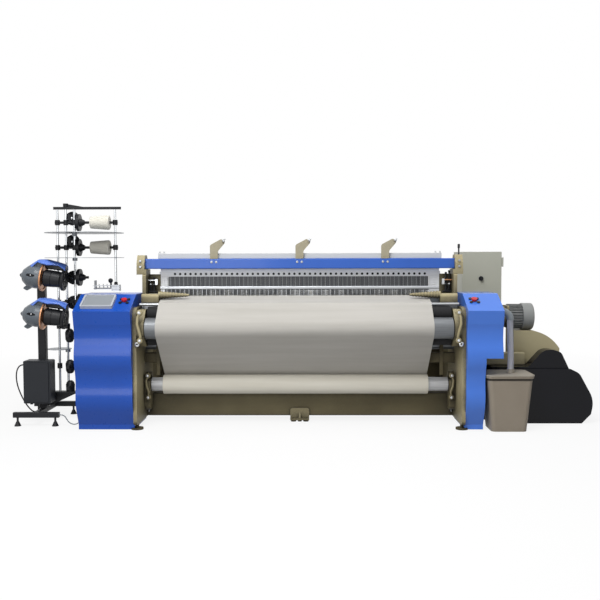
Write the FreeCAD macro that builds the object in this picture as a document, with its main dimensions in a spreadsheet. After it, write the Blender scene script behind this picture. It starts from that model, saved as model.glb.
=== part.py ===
"""Power loom: an air-jet weaving machine with its weft stand, as a parametric document.

The row frame has X to the right, Y to the back and Z up. Its origin lies on the floor between
the two pads of the middle foot. Sizes are in millimetres and angles in degrees.
"""
import FreeCAD, Part
import math
import os

import Sketcher
from FreeCAD import Placement, Rotation, Vector

# ---------------------------------------------------------------------------------------
# Driving dimensions. Places are measured from the origin: "_y" towards the back, "_z" up.
# ---------------------------------------------------------------------------------------
SIZES = {
    # Clearances
    "turn_gap": 0.3,          # between a journal and its bore, and between rolling faces
    "slide_gap": 0.3,         # between a sliding frame and its guide
    "cloth_gap": 0.3,         # between the fabric and what it runs over
    # Machine frame
    "inner_width": 2374.0,    # between the inner faces of the side frames
    "frame_thick": 28.0,
    "foot_high": 40.0,        # underside of the side frames above the floor
    "frame_front_y": -375.0,
    "frame_back_y": 1260.0,
    "frame_front_z": 905.0,
    "frame_waist_z": 830.0,
    "column_front_y": 10.0,
    "column_back_y": 215.0,
    "column_top_z": 1140.0,
    "frame_rear_z": 850.0,
    "rest_seat_z": 965.0,     # top of the frame's shoulder round the back rest
    "window_low_z": 220.0,
    "window_high_z": 620.0,
    "window_round": 55.0,
    "front_window_y": 250.0,
    "front_window_wide": 390.0,
    "rear_window_y": 720.0,
    "rear_window_wide": 190.0,
    "foot_radius": 45.0,
    "foot_plate": 14.0,
    "foot_screw": 13.0,
    "foot_inset": 75.0,       # levelling foot from the end of the side frame
    # Cross beams
    "low_beam_y": 20.0,
    "low_beam_deep": 180.0,
    "low_beam_high": 180.0,
    "beam_wall": 10.0,
    "middle_foot_wide": 147.0,
    "middle_foot_top": 103.0,
    "middle_foot_front_y": -26.0,
    "middle_foot_plate": 14.0,
    "pad_radius": 21.0,
    "pad_high": 12.0,
    "pad_spacing": 96.0,
    "jack_radius": 16.0,      # the pad of the jacking screw, at the origin
    "mid_beam_y": -60.0,
    "mid_beam_deep": 60.0,
    "mid_beam_z": 464.0,
    "mid_beam_high": 76.0,
    "strip_high": 260.0,      # upright flange strips beside the ends of the middle beam
    "strip_wide": 26.0,
    "rear_beam_y": 1085.0,
    "rear_beam_deep": 130.0,
    "rear_beam_z": 48.0,
    "rear_beam_high": 56.0,
    "tie_beam_y": 520.0,
    "tie_beam_deep": 90.0,
    "tie_beam_z": 640.0,
    "tie_beam_high": 120.0,
    "breast_top_z": 932.0,
    "breast_nose": 10.0,
    "breast_front_y": -235.0,
    "breast_back_y": -95.0,
    "breast_web": 60.0,
    "breast_low_z": 862.0,
    # Take-up and cloth roll
    "take_up_y": -310.0,
    "take_up_z": 750.0,
    "take_up_radius": 79.0,
    "roller_room": 8.0,       # between a roller and its bracket
    "journal": 24.0,
    "upper_press_radius": 55.0,
    "upper_press_lean": 49.6,
    "lower_press_radius": 40.0,
    "lower_press_lean": -50.0,
    "press_journal": 17.0,
    "cloth_roll_y": -30.0,
    "cloth_roll_z": 295.0,
    "cloth_roll_radius": 74.0,
    "cloth_core_radius": 53.0,
    "core_room": 7.0,         # between the cloth roller and its hook
    "cloth_journal": 22.0,
    "cloth_left_inset": 23.0, # cloth edge in from the end of the reed
    "cloth_right_inset": 87.0,
    "fabric_thick": 1.2,
    "fell_y": -35.0,
    "warp_line_z": 978.0,
    "bracket_inset": 54.0,    # roller brackets stand this far in from the side frames
    "hook_inset": 44.0,
    # Sley and reed
    "rock_y": 10.0,
    "rock_z": 590.0,
    "rock_radius": 30.0,
    "sley_room": 67.0,        # between the sley and the side frame
    "sley_front_y": -34.0,
    "sley_back_y": 40.0,
    "sley_low_z": 895.0,
    "sley_top_z": 962.0,
    "sword_thick": 26.0,
    "sword_spacing": 620.0,
    "reed_y": -20.0,
    "reed_deep": 12.0,
    "reed_inset": 50.0,       # reed in from the end of the sley
    "reed_top_z": 1050.0,
    "reed_cap_high": 23.0,
    "reed_seat": 12.0,
    "wire_pitch": 34.0,
    "reed_wire": 3.0,
    "strip_margin": 10.0,     # first warp strip in from the edge of the fabric
    "warp_strip_wide": 3.0,
    "warp_strip_thick": 0.8,
    # Heald frames
    "heald_y": 150.0,
    "heald_deep": 15.0,
    "heald_step": 30.0,
    "heald_room": 82.0,       # between a heald frame and the side frame
    "heald_top_z": 1162.0,
    "heald_rail_high": 41.0,
    "heald_low_z": 800.0,
    "heald_stay": 16.0,
    "heald_wire": 2.4,
    "rail_hole": 8.5,
    "rail_hole_pitch": 41.0,
    "guide_lip": 8.0,
    # Warp stop motion, back rest and warp beam
    "stop_y": 540.0,
    "stop_bar_high": 12.0,
    "stop_bar_z": 996.0,
    "drop_wire_low_z": 905.0,
    "drop_wire_thick": 3.0,
    "drop_wire_wide": 12.0,
    "stop_cheek_deep": 90.0,
    "back_rest_y": 870.0,
    "back_rest_radius": 65.0,
    "back_rest_room": 47.0,
    "back_journal": 22.0,
    "warp_beam_y": 1100.0,
    "warp_beam_z": 500.0,
    "warp_core_radius": 75.0,
    "warp_roll_radius": 290.0,
    "warp_flange_radius": 380.0,
    "warp_flange_thick": 18.0,
    "beam_room": 140.0,       # between the wound warp and the side frame
    "warp_journal": 40.0,
}
SIZES.update({
    # Top beam and its arms
    "top_beam_seat": 15.0,    # how far the top beam reaches over a column
    "top_beam_y": 70.0,
    "top_beam_deep": 60.0,
    "top_beam_z": 1183.0,
    "top_beam_high": 79.0,
    "bracket_top_z": 1290.0,
    "bracket_reach": 60.0,
    "hanger_spacing": 667.0,
    "hanger_wide": 62.0,
    "hanger_thick": 14.0,
    "hanger_rise": 90.0,
    "hanger_lean": 82.0,
    "hanger_lift": 60.0,
    "hanger_deep": 34.0,
    "hanger_foot": 8.0,
    "duct_half": 1108.0,      # cable duct along the back of the top beam, from its middle
    "duct_deep": 24.0,
    "duct_high": 42.0,
    "duct_screw": 7.0,
    # Front covers and gear housings
    "cover_front_y": -450.0,
    "cover_back_y": 100.0,
    "cover_low_z": 4.0,
    "cover_edge_z": 885.0,
    "cover_top_z": 1000.0,
    "slope_run": 240.0,
    "brow_in": 22.0,          # the cover's waves, from its edge down: how far in and how high
    "brow_z": 787.0,          # each one starts, and how round it is
    "brow_radius": 260.0,
    "belly_in": 26.0,
    "belly_z": 615.0,
    "belly_radius": 230.0,
    "waist_in": 33.0,
    "waist_z": 465.0,
    "waist_radius": 300.0,
    "shin_in": 52.0,
    "shin_z": 293.0,
    "shin_radius": 230.0,
    "ankle_in": 72.0,
    "ankle_z": 143.0,
    "toe_in": 122.0,
    "toe_z": 40.0,
    "left_cover_wide": 415.0,
    "right_cover_wide": 259.0,
    "right_cover_low_wide": 137.0,
    "right_notch_z": 540.0,
    "housing_back_y": 520.0,
    "housing_low_z": 120.0,
    "housing_high_z": 940.0,
    "left_housing_wide": 345.0,
    "right_housing_wide": 185.0,
    # Touch screen and buttons on the slope
    "screen_inset": 162.0,    # middle of the screen from the cover's outer face
    "screen_wide": 236.0,
    "screen_tall": 178.0,
    "screen_thick": 24.0,
    "screen_rim": 14.0,
    "screen_sink": 6.0,
    "screen_up": 128.0,
    "button_radius": 21.0,
    "button_stem": 12.0,
    "button_travel": 5.0,
    "button_cap": 12.0,
    "button_up": 150.0,
    "button_inset": 67.0,     # buttons from the inner face of a cover
    "key_spacing": 52.0,
    "key_radius": 12.0,
    "key_high": 9.0,
    # Temples
    "temple_y": -135.0,
    "temple_z": 988.0,
    "temple_wide": 130.0,
    "temple_deep": 72.0,
    "temple_high": 66.0,
    "temple_reach": 225.0,
    "temple_big": 28.0,
    "temple_small": 8.0,
    "temple_rib": 4.0,        # how far a rib stands out of the taper
    "temple_rib_wide": 8.0,
    "temple_ribs": 9.0,
    # Electrical cabinet
    "cabinet_gap": 184.0,     # between the right side frame and the cabinet
    "cabinet_wide": 343.0,
    "cabinet_y": 840.0,
    "cabinet_deep": 400.0,
    "cabinet_low_z": 420.0,
    "cabinet_top_z": 1315.0,
    "cabinet_wall": 4.0,
    "door_thick": 20.0,
    "door_gap": 1.0,
    "hinge_radius": 8.0,
    "hinge_pin": 4.5,
    "hinge_high": 40.0,
    "switch_inset": 164.0,
    "switch_z": 1084.0,
    "switch_radius": 20.0,
    "switch_shaft": 8.0,
    # Drive motor and drive covers
    "motor_y": 240.0,
    "motor_z": 797.0,
    "clutch_long": 234.0,
    "motor_flange": 16.0,
    "motor_flange_wide": 175.0,
    "motor_radius": 86.0,
    "motor_fin": 13.0,
    "motor_long": 111.0,
    "cowl_radius": 106.0,
    "cowl_long": 88.0,
    "clutch_radius": 78.0,
    "black_gap": 1.0,         # between the right cover and the black cover
    "black_wide": 755.0,
    "black_front_y": -90.0,
    "black_lobe_deep": 150.0,
    "black_back_y": 420.0,
    "black_top_z": 430.0,
    "lobe_back": 30.0,        # how far the lobe stands behind the face of the box below it
    "lobe_top_z": 562.0,
    "lobe_right": 232.0,      # corners of the lobe, from the black cover's right end
    "lobe_crown": 300.0,
    "lobe_fall": 365.0,
    "lobe_left": 480.0,
    "toe_cut": 78.0,
    "toe_cut_z": 72.0,
    "flank_bulge": 12.0,
    "flank_z": 180.0,
    "flank_radius": 180.0,
    "shoulder_in": 100.0,
    "shoulder_z": 385.0,
    "neck_in": 168.0,
    "neck_z": 418.0,
    "side_box_lap": 23.0,
    "side_box_wide": 300.0,
    "side_box_top_z": 524.0,
    "belt_wide": 360.0,
    "belt_from_end": 185.0,
    "belt_top_z": 690.0,
    "belt_flat": 140.0,       # level part of the belt guard's top
    "belt_tip_z": 548.0,
    "belt_tuck": 12.0,
    "belt_radius": 300.0,
    "belt_front_y": 140.0,
    "belt_back_y": 415.0,
    # Waste bin and its hose
    "bin_beside": 57.0,       # middle of the bin from the right cover
    "bin_y": -270.0,
    "bin_rim_wide": 330.0,
    "bin_rim_deep": 312.0,
    "bin_base_wide": 258.0,
    "bin_base_deep": 244.0,
    "bin_high": 408.0,
    "bin_wall": 4.0,
    "bin_round": 34.0,
    "bin_lip": 7.0,
    "lid_thick": 8.0,
    "lid_skirt": 14.0,
    "hose_radius": 23.0,
    "hose_wall": 3.0,
    "hose_top_z": 808.0,
    "hose_y": -284.0,
    "hose_bend": 60.0,
    "elbow_out": 22.0,        # straight run of the elbow out of the right cover
    "hose_drift": 4.0,        # how far the hose's foot stands beyond its top
    "hose_drop": 110.0,       # straight run under the elbow
    "hose_rise": 106.0,       # straight run over the lid's collar
    "fitting_wall": 4.0,
    "fitting_high": 30.0,
    # Weft stand
    "stand_front_y": -184.0,
    "stand_rear_y": 300.0,
    "stand_left_reach": 166.0,
    "stand_right_reach": 180.0,
    "stand_bar": 40.0,
    "stand_bar_z": 65.0,
    "stand_gap": 369.0,       # column of the stand from the left cover
    "column_y": 20.0,
    "column_wide": 60.0,
    "column_high_z": 1165.0,
    "control_wide": 207.0,
    "control_reach": 101.0,
    "control_low_z": 161.0,
    "control_top_z": 488.0,
    "control_deep": 120.0,
    # Weft feeders
    "feeder_beside": 94.0,
    "feeder_y": -110.0,
    "upper_feeder_z": 1117.0,
    "lower_feeder_z": 824.0,
    "feeder_lean": 7.0,
    "feeder_nose": 212.0,
    "egg_tip": 14.0,          # radii of the egg-shaped nose, from its tip to its belly
    "egg_brow": 24.0,
    "egg_cheek": 50.0,
    "egg_belly": 82.0,
    "egg_brow_at": 12.0,      # where they lie, from the tip
    "egg_cheek_at": 24.0,
    "egg_belly_at": 62.0,
    "egg_full_at": 120.0,
    "egg_blend": 50.0,
    "feeder_body": 90.0,
    "feeder_drum": 66.0,
    "feeder_spine": 26.0,     # height of the cap along a feeder's back
    "feeder_ring": 16.0,
    "feeder_shaft": 15.0,     # fixed shaft between housing and drum, on which the flyer runs
    "feeder_seat": 14.0,      # how deep the shaft stands in the housing
    "fit_gap": 0.05,          # radial gap of a running fit
    "flyer_radius": 104.0,
    "flyer_thick": 12.0,
    "flyer_at": -45.0,
    "drum_long": 132.0,
    # Creel
    "creel_y": 40.0,
    "post_from_column": 124.0,
    "post_step": 66.0,
    "creel_wide": 449.0,
    "post_radius": 9.0,
    "creel_base_z": 230.0,
    "creel_top_z": 1645.0,
    "right_post_low_z": 1062.0,
    "tray_from_post": 209.0,
    "tray_radius": 300.0,
    "low_tray_radius": 92.0,
    "tray_thick": 4.0,
    "low_tray_z": 560.0,
    "mid_tray_z": 1270.0,
    "top_tray_z": 1462.0,
    "spindle_radius": 10.0,
    "holder_radius": 66.0,
    "holder_thick": 22.0,
    "clamp_radius": 19.0,
    "clamp_high": 40.0,
    "foot_cone_high": 34.0,
    "foot_cone_big": 26.0,
    "foot_cone_small": 11.0,
    "cone_long": 152.0,
    "cone_big": 58.0,
    "cone_small": 46.0,
    "cone_gap": 41.0,         # between a cone and the right post
    "upper_cone_z": 1544.0,
    "lower_cone_z": 1351.0,
})

doc = FreeCAD.newDocument("power_loom")
sheet = doc.addObject("Spreadsheet::Sheet", "sizes")
LEFT, RIGHT = -1, 1
X_AXIS, Y_AXIS, Z_AXIS = Vector(1, 0, 0), Vector(0, 1, 0), Vector(0, 0, 1)
NODES = []


class Size:
    """A number together with the sheet expression that it comes from."""

    def __init__(self, mm, text):
        self.mm = float(mm)
        self.text = text

    def __add__(self, other):
        return mix(self, "+", other, self.mm + number(other))

    def __radd__(self, other):
        return mix(other, "+", self, number(other) + self.mm)

    def __sub__(self, other):
        return mix(self, "-", other, self.mm - number(other))

    def __rsub__(self, other):
        return mix(other, "-", self, number(other) - self.mm)

    def __mul__(self, other):
        return mix(self, "*", other, self.mm * number(other))

    __rmul__ = __mul__

    def __truediv__(self, other):
        return mix(self, "/", other, self.mm / number(other))

    def __neg__(self):
        return Size(-self.mm, f"(0 - {self.text})")


def number(value):
    """The plain number of a size or a number."""
    return value.mm if isinstance(value, Size) else float(value)


def text(value):
    """The expression of a size or a number."""
    return value.text if isinstance(value, Size) else f"({float(value):.9g})"


def mix(left, sign, right, result):
    """Two sizes joined by a sign."""
    return Size(result, f"({text(left)} {sign} {text(right)})")


def cosine(angle):
    return Size(math.cos(math.radians(number(angle))), f"cos({text(angle)})")


def sine(angle):
    return Size(math.sin(math.radians(number(angle))), f"sin({text(angle)})")


def hypotenuse(one, two):
    return Size(math.hypot(number(one), number(two)), f"hypot({text(one)}; {text(two)})")


def slope_angle(rise, run):
    """The angle in degrees of a slope."""
    degrees = math.degrees(math.atan(number(rise) / number(run)))
    return Size(degrees, f"atan({text(rise)} / {text(run)})")


class Dimensions:
    """The sheet's cells, read as sizes by their aliases."""

    def __init__(self, cells):
        self.cells = cells
        for row, (alias, value) in enumerate(cells.items(), start=1):
            sheet.set(f"A{row}", alias)
            sheet.set(f"B{row}", str(value))
            sheet.setAlias(f"B{row}", alias)

    def __getattr__(self, alias):
        return Size(self.cells[alias], f"sizes.{alias}")


s = Dimensions(SIZES)
doc.recompute()


# ---------------------------------------------------------------------------------------
# Building blocks
# ---------------------------------------------------------------------------------------
def bind(item, prop, size):
    """Tie a property of an object to a size."""
    item.setExpression(prop, text(size))


def move(item, x, y, z):
    """Set the place of an object's own origin."""
    turn = item.Placement.Rotation
    item.Placement = Placement(Vector(number(x), number(y), number(z)), turn)
    for letter, value in zip("xyz", (x, y, z)):
        bind(item, f"Placement.Base.{letter}", value)
    return item


def turned(item, axis, angle):
    """Turn an object about its own origin."""
    item.Placement = Placement(item.Placement.Base, Rotation(axis, number(angle)))
    bind(item, "Placement.Rotation.Angle", angle)
    return item


def node(label, item):
    """Name a finished sub-part."""
    item.Label = label
    NODES.append(item)
    return item


def block(x, y, z):
    """A box between two values on each axis."""
    item = doc.addObject("Part::Box", "block")
    for prop, (low, high) in zip(("Length", "Width", "Height"), (x, y, z)):
        bind(item, prop, high - low)
    return move(item, x[0], y[0], z[0])


def aim(item, axis, along, centre):
    """Point an upright solid of revolution along an axis and place it."""
    one, two = centre
    if axis == "x":
        item.Placement = Placement(Vector(), Rotation(Y_AXIS, 90))
        return move(item, along, one, two)
    if axis == "y":
        item.Placement = Placement(Vector(), Rotation(X_AXIS, -90))
        return move(item, one, along, two)
    return move(item, one, two, along)


def rod(axis, span, centre, radius):
    """A round bar along an axis; the centre is given on the other two axes."""
    item = doc.addObject("Part::Cylinder", "rod")
    bind(item, "Radius", radius)
    bind(item, "Height", span[1] - span[0])
    return aim(item, axis, span[0], centre)


def taper(axis, span, centre, first, last):
    """A round bar whose radius changes evenly along it."""
    item = doc.addObject("Part::Cone", "taper")
    bind(item, "Radius1", first)
    bind(item, "Radius2", last)
    bind(item, "Height", span[1] - span[0])
    return aim(item, axis, span[0], centre)


def fuse(*items):
    item = doc.addObject("Part::MultiFuse", "joined")
    item.Shapes = list(items)
    item.Refine = True
    return item


def cut(base, *tools):
    item = doc.addObject("Part::Cut", "carved")
    item.Base = base
    item.Tool = tools[0] if len(tools) == 1 else fuse(*tools)
    return item


def group(label, items):
    """Separate solids that share one node."""
    item = doc.addObject("Part::Compound", "group")
    item.Links = list(items)
    return node(label, item)


def tube(axis, span, centre, outer, inner):
    return cut(rod(axis, span, centre, outer), rod(axis, span, centre, inner))


def out(side, near, far):
    """The X span between two distances from the middle plane, on one side of it."""
    return (near, far) if side == RIGHT else (-far, -near)


class Hole:
    """A round opening in an outline."""

    def __init__(self, across, up, radius):
        self.across = across
        self.up = up
        self.radius = radius


def fix_point(sketch, geometry, end, across, up):
    """Hold a point of the sketch at its two distances from the sketch's origin."""
    for kind, value in (("DistanceX", across), ("DistanceY", up)):
        link = Sketcher.Constraint(kind, -1, 1, geometry, end, number(value))
        index = sketch.addConstraint(link)
        sketch.setExpression(f"Constraints[{index}]", text(value))


def fix_radius(sketch, geometry, radius):
    index = sketch.addConstraint(Sketcher.Constraint("Radius", geometry, number(radius)))
    sketch.setExpression(f"Constraints[{index}]", text(radius))


def corner_ends(before, corner, after, radius):
    """Where a rounded corner's arc starts and ends, and its middle."""
    back = (before - corner).normalize()
    ahead = (after - corner).normalize()
    half = back.getAngle(ahead) / 2
    reach = radius / math.tan(half)
    middle = corner + (back + ahead).normalize() * (radius / math.sin(half) - radius)
    return corner + back * reach, middle, corner + ahead * reach


def near_end(sketch, geometry, point):
    """The end of a sketch curve that lies at a point: 1 for its start and 2 for its end."""
    start = sketch.getPoint(geometry, 1)
    return 1 if (start - point).Length < (sketch.getPoint(geometry, 2) - point).Length else 2


def draw_loop(sketch, corners):
    """Draw a closed outline. A corner is (across, up), (across, up, rounding), or with a
    fourth value the radius of the arc that leads from it to the next corner, which bends
    to the right of the way along the outline, or to the left if the radius is negative."""
    flat = [Vector(number(c[0]), number(c[1]), 0) for c in corners]
    count = len(corners)
    ends = []
    for index, corner in enumerate(corners):
        here = flat[index]
        rounding = corner[2] if len(corner) > 2 else 0
        if number(rounding) == 0:
            ends.append((here, here, None))
            continue
        enter, middle, leave = corner_ends(
            flat[index - 1], here, flat[(index + 1) % count], number(rounding))
        arc = sketch.addGeometry(Part.Arc(enter, middle, leave))
        fix_radius(sketch, arc, rounding)
        mark = sketch.addGeometry(Part.Point(here), True)
        fix_point(sketch, mark, 1, corner[0], corner[1])
        ends.append((enter, leave, (arc, mark)))
    edges = []
    for index, corner in enumerate(corners):
        start = ends[index][1]
        stop = ends[(index + 1) % count][0]
        if len(corner) > 3:
            bow = number(corner[3])
            chord = stop - start
            right = Vector(chord.y, -chord.x, 0).normalize()
            sag = abs(bow) - math.sqrt(bow * bow - chord.Length ** 2 / 4)
            middle = (start + stop) / 2 + right * math.copysign(sag, bow)
            edge = sketch.addGeometry(Part.Arc(start, middle, stop))
            fix_radius(sketch, edge, corner[3] if bow > 0 else -corner[3])
        else:
            edge = sketch.addGeometry(Part.LineSegment(start, stop))
        edges.append(edge)
    for index, corner in enumerate(corners):
        before, after = edges[index - 1], edges[index]
        enter, leave, rounded = ends[index]
        before_end = near_end(sketch, before, enter)
        after_end = near_end(sketch, after, leave)
        if rounded is None:
            sketch.addConstraint(
                Sketcher.Constraint("Coincident", before, before_end, after, after_end))
            fix_point(sketch, after, after_end, corner[0], corner[1])
            continue
        arc, mark = rounded
        sketch.addConstraint(Sketcher.Constraint(
            "Tangent", before, before_end, arc, near_end(sketch, arc, enter)))
        sketch.addConstraint(Sketcher.Constraint(
            "Tangent", arc, near_end(sketch, arc, leave), after, after_end))
        sketch.addConstraint(Sketcher.Constraint("PointOnObject", mark, 1, before))
        sketch.addConstraint(Sketcher.Constraint("PointOnObject", mark, 1, after))


def draw(body, plane, loops):
    """A sketch on one of a body's own planes."""
    sketch = body.newObject("Sketcher::SketchObject", "outline")
    face = next(f for f in body.Origin.OriginFeatures if f.Role == f"{plane}_Plane")
    sketch.AttachmentSupport = (face, "")
    sketch.MapMode = "FlatFace"
    for loop in loops:
        if isinstance(loop, Hole):
            middle = Vector(number(loop.across), number(loop.up), 0)
            circle = sketch.addGeometry(Part.Circle(middle, Z_AXIS, number(loop.radius)))
            fix_radius(sketch, circle, loop.radius)
            fix_point(sketch, circle, 3, loop.across, loop.up)
        else:
            draw_loop(sketch, loop)
    return sketch


def profile(plane, span, *loops):
    """A body with one padded outline. The span is on the axis square to the plane."""
    body = doc.addObject("PartDesign::Body", "body")
    sketch = draw(body, plane, loops)
    pad = body.newObject("PartDesign::Pad", "pad")
    pad.Profile = sketch
    bind(pad, "Length", span[1] - span[0])
    if plane == "YZ":
        return move(body, span[0], 0, 0)
    if plane == "XZ":
        return move(body, 0, span[1], 0)
    return move(body, 0, 0, span[0])


def turning(corners):
    """A body turned about its own X axis; corners are (along, radius) above the axis."""
    body = doc.addObject("PartDesign::Body", "body")
    sketch = draw(body, "XY", [corners])
    turn = body.newObject("PartDesign::Revolution", "turn")
    turn.Profile = sketch
    turn.ReferenceAxis = (sketch, ["H_Axis"])
    turn.Angle = 360
    return body


def rectangle(across, up, rounding=0):
    """The four corners of a rectangle, anticlockwise."""
    return [(across[0], up[0], rounding), (across[1], up[0], rounding),
            (across[1], up[1], rounding), (across[0], up[1], rounding)]


def hollow_beam(y, z, wall, rounding, half):
    """A rectangular tube between two side pieces."""
    outer = rectangle((y, y + wall[0]), (z, z + wall[1]), rounding)
    inner = rectangle((y + wall[2], y + wall[0] - wall[2]), (z + wall[2], z + wall[1] - wall[2]))
    return profile("YZ", (-half, half), outer, inner)


# ---------------------------------------------------------------------------------------
# Machine frame
# ---------------------------------------------------------------------------------------
inner = s.inner_width / 2
outer = inner + s.frame_thick
upper_press = s.take_up_radius + s.upper_press_radius + s.turn_gap
upper_press_y = s.take_up_y + upper_press * cosine(s.upper_press_lean)
upper_press_z = s.take_up_z + upper_press * sine(s.upper_press_lean)
lower_press = s.take_up_radius + s.lower_press_radius + s.turn_gap
lower_press_y = s.take_up_y + lower_press * cosine(s.lower_press_lean)
lower_press_z = s.take_up_z + lower_press * sine(s.lower_press_lean)
back_rest_z = s.warp_line_z - s.warp_strip_thick / 2 - s.cloth_gap - s.back_rest_radius

# Where pieces end or stand across the loom, from its side frames outwards
roller_half = inner - s.bracket_inset - s.roller_room
core_half = inner - s.hook_inset - s.core_room
sley_half = inner - s.sley_room
reed_half = sley_half - s.reed_inset
fabric_left = reed_half - s.cloth_left_inset
fabric_right = reed_half - s.cloth_right_inset
heald_half = inner - s.heald_room
back_rest_half = inner - s.back_rest_room
warp_roll_half = inner - s.beam_room
top_beam_half = inner + s.top_beam_seat
cover_left_x = -(outer + s.left_cover_wide)
cover_right_x = outer + s.right_cover_wide
screen_x = cover_left_x + s.screen_inset
left_button_x = -(outer + s.button_inset)
right_button_x = outer + s.button_inset
cabinet_x = outer + s.cabinet_gap
switch_x = cabinet_x + s.switch_inset
motor_flange_x = outer + s.right_housing_wide + s.clutch_long
black_left_x = cover_right_x + s.black_gap
black_right_x = black_left_x + s.black_wide
side_box_left_x = black_left_x - s.side_box_lap
side_box_right_x = side_box_left_x + s.side_box_wide
belt_right_x = black_right_x - s.belt_from_end
belt_left_x = belt_right_x - s.belt_wide
bin_x = cover_right_x + s.bin_beside
column_x = cover_left_x - s.stand_gap
feeder_x = column_x + s.feeder_beside
stand_left_x = column_x - s.stand_left_reach
stand_right_x = column_x + s.stand_right_reach
control_right_x = column_x + s.control_reach
control_left_x = control_right_x - s.control_wide
post_first_x = column_x + s.post_from_column
right_post_x = post_first_x + s.creel_wide
tray_x = post_first_x + s.tray_from_post
cone_end_x = right_post_x - s.cone_gap


def side_frame(side, label):
    """A side casting: foot, waist, column for the top beam, and shoulder for the back rest."""
    shoulder = s.back_rest_radius + 25
    outline = [
        (s.frame_front_y, s.foot_high, 30),
        (s.frame_back_y, s.foot_high, 30),
        (s.frame_back_y, s.warp_beam_z + 190, 90),
        (s.back_rest_y + shoulder, s.rest_seat_z, 40),
        (s.back_rest_y - shoulder, s.rest_seat_z, 30),
        (s.back_rest_y - shoulder - 40, s.frame_rear_z, 50),
        (s.column_back_y + 30, s.frame_rear_z, 90),
        (s.column_back_y, s.column_top_z, 12),
        (s.column_front_y, s.column_top_z, 12),
        (s.column_front_y - 10, s.frame_waist_z, 45),
        (s.breast_back_y + 20, s.frame_waist_z, 40),
        (s.breast_back_y - 20, s.frame_front_z, 30),
        (s.frame_front_y, s.frame_front_z, 70),
    ]
    front_window = rectangle(
        (s.front_window_y, s.front_window_y + s.front_window_wide),
        (s.window_low_z, s.window_high_z), s.window_round)
    rear_window = rectangle(
        (s.rear_window_y, s.rear_window_y + s.rear_window_wide),
        (s.window_low_z, s.window_high_z), s.window_round)
    journals = [
        Hole(s.rock_y, s.rock_z, s.rock_radius + s.turn_gap),
        Hole(s.back_rest_y, back_rest_z, s.back_journal + s.turn_gap),
        Hole(s.warp_beam_y, s.warp_beam_z, s.warp_journal + s.turn_gap),
    ]
    node(label, profile("YZ", out(side, inner, outer), outline, front_window, rear_window,
                        *journals))


def levelling_foot(x, y, radius, plate, screw, top):
    """A round foot with the screw that stands in it, on the floor."""
    return fuse(rod("z", (0, plate), (x, y), radius), rod("z", (plate, top), (x, y), screw))


def levelling_feet():
    middle = (inner + outer) / 2
    feet = []
    for side in (LEFT, RIGHT):
        for y in (s.frame_front_y + s.foot_inset, s.frame_back_y - s.foot_inset):
            feet.append(levelling_foot(middle * side, y, s.foot_radius, s.foot_plate,
                                       s.foot_screw, s.foot_high))
    for side in (LEFT, RIGHT):
        feet.append(rod("z", (0, s.pad_high), (s.pad_spacing / 2 * side, 0), s.pad_radius))
    feet.append(rod("z", (0, s.pad_high), (0, 0), s.jack_radius))
    group("levelling_feet", feet)


def middle_foot():
    """The bent plate under the front beam, which stands on two pads."""
    front = s.middle_foot_front_y
    half = s.middle_foot_wide / 2
    plate = s.middle_foot_plate
    face = profile("XZ", (s.low_beam_y - plate, s.low_beam_y), [
        (-half, s.pad_high, 5), (half, s.pad_high, 5),
        (half, s.middle_foot_top, 22), (-half, s.middle_foot_top, 22)])
    sole = block((-half, half), (front, s.low_beam_y + 90), (s.pad_high, s.pad_high + plate))
    web = profile("YZ", (-plate / 2, plate / 2), [
        (front + 4, s.pad_high + plate / 2), (s.low_beam_y - 4, s.pad_high + plate / 2),
        (s.low_beam_y - 4, s.middle_foot_top - 15)])
    riser = block((-half, half), (s.low_beam_y + 20, s.low_beam_y + 90),
                  (s.pad_high + plate / 2, s.foot_high))
    node("middle_foot", fuse(face, sole, web, riser))


def cross_beams():
    low = (s.low_beam_deep, s.low_beam_high, s.beam_wall)
    node("front_lower_beam", hollow_beam(s.low_beam_y, s.foot_high, low, 12, inner))
    middle = (s.mid_beam_deep, s.mid_beam_high, s.beam_wall)
    beam = hollow_beam(s.mid_beam_y, s.mid_beam_z, middle, 8, inner)
    strips = []
    strip_z = s.mid_beam_z + s.mid_beam_high / 2
    for side in (LEFT, RIGHT):
        across = out(side, inner - s.strip_wide - 90, inner - 90)
        strips.append(block(across, (s.mid_beam_y - 8, s.mid_beam_y),
                            (strip_z - s.strip_high / 2, strip_z + s.strip_high / 2)))
    node("front_middle_beam", fuse(beam, *strips))
    rear = (s.rear_beam_deep, s.rear_beam_high, s.beam_wall)
    tie = (s.tie_beam_deep, s.tie_beam_high, s.beam_wall)
    group("rear_beams", [
        hollow_beam(s.rear_beam_y, s.rear_beam_z, rear, 8, inner),
        hollow_beam(s.tie_beam_y, s.tie_beam_z, tie, 8, inner)])


def breast_beam():
    """The beam that the cloth runs over: a nosed plate on a hollow web."""
    low = s.breast_top_z - 2 * s.breast_nose
    nose = [
        (s.breast_front_y, low, s.breast_nose * 0.96),
        (s.breast_back_y - s.breast_web, low, 4),
        (s.breast_back_y - s.breast_web, s.breast_low_z, 6),
        (s.breast_back_y, s.breast_low_z, 6),
        (s.breast_back_y, s.breast_top_z, 6),
        (s.breast_front_y, s.breast_top_z, s.breast_nose * 0.96),
    ]
    node("breast_beam", profile("YZ", (-inner, inner), nose))


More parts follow.
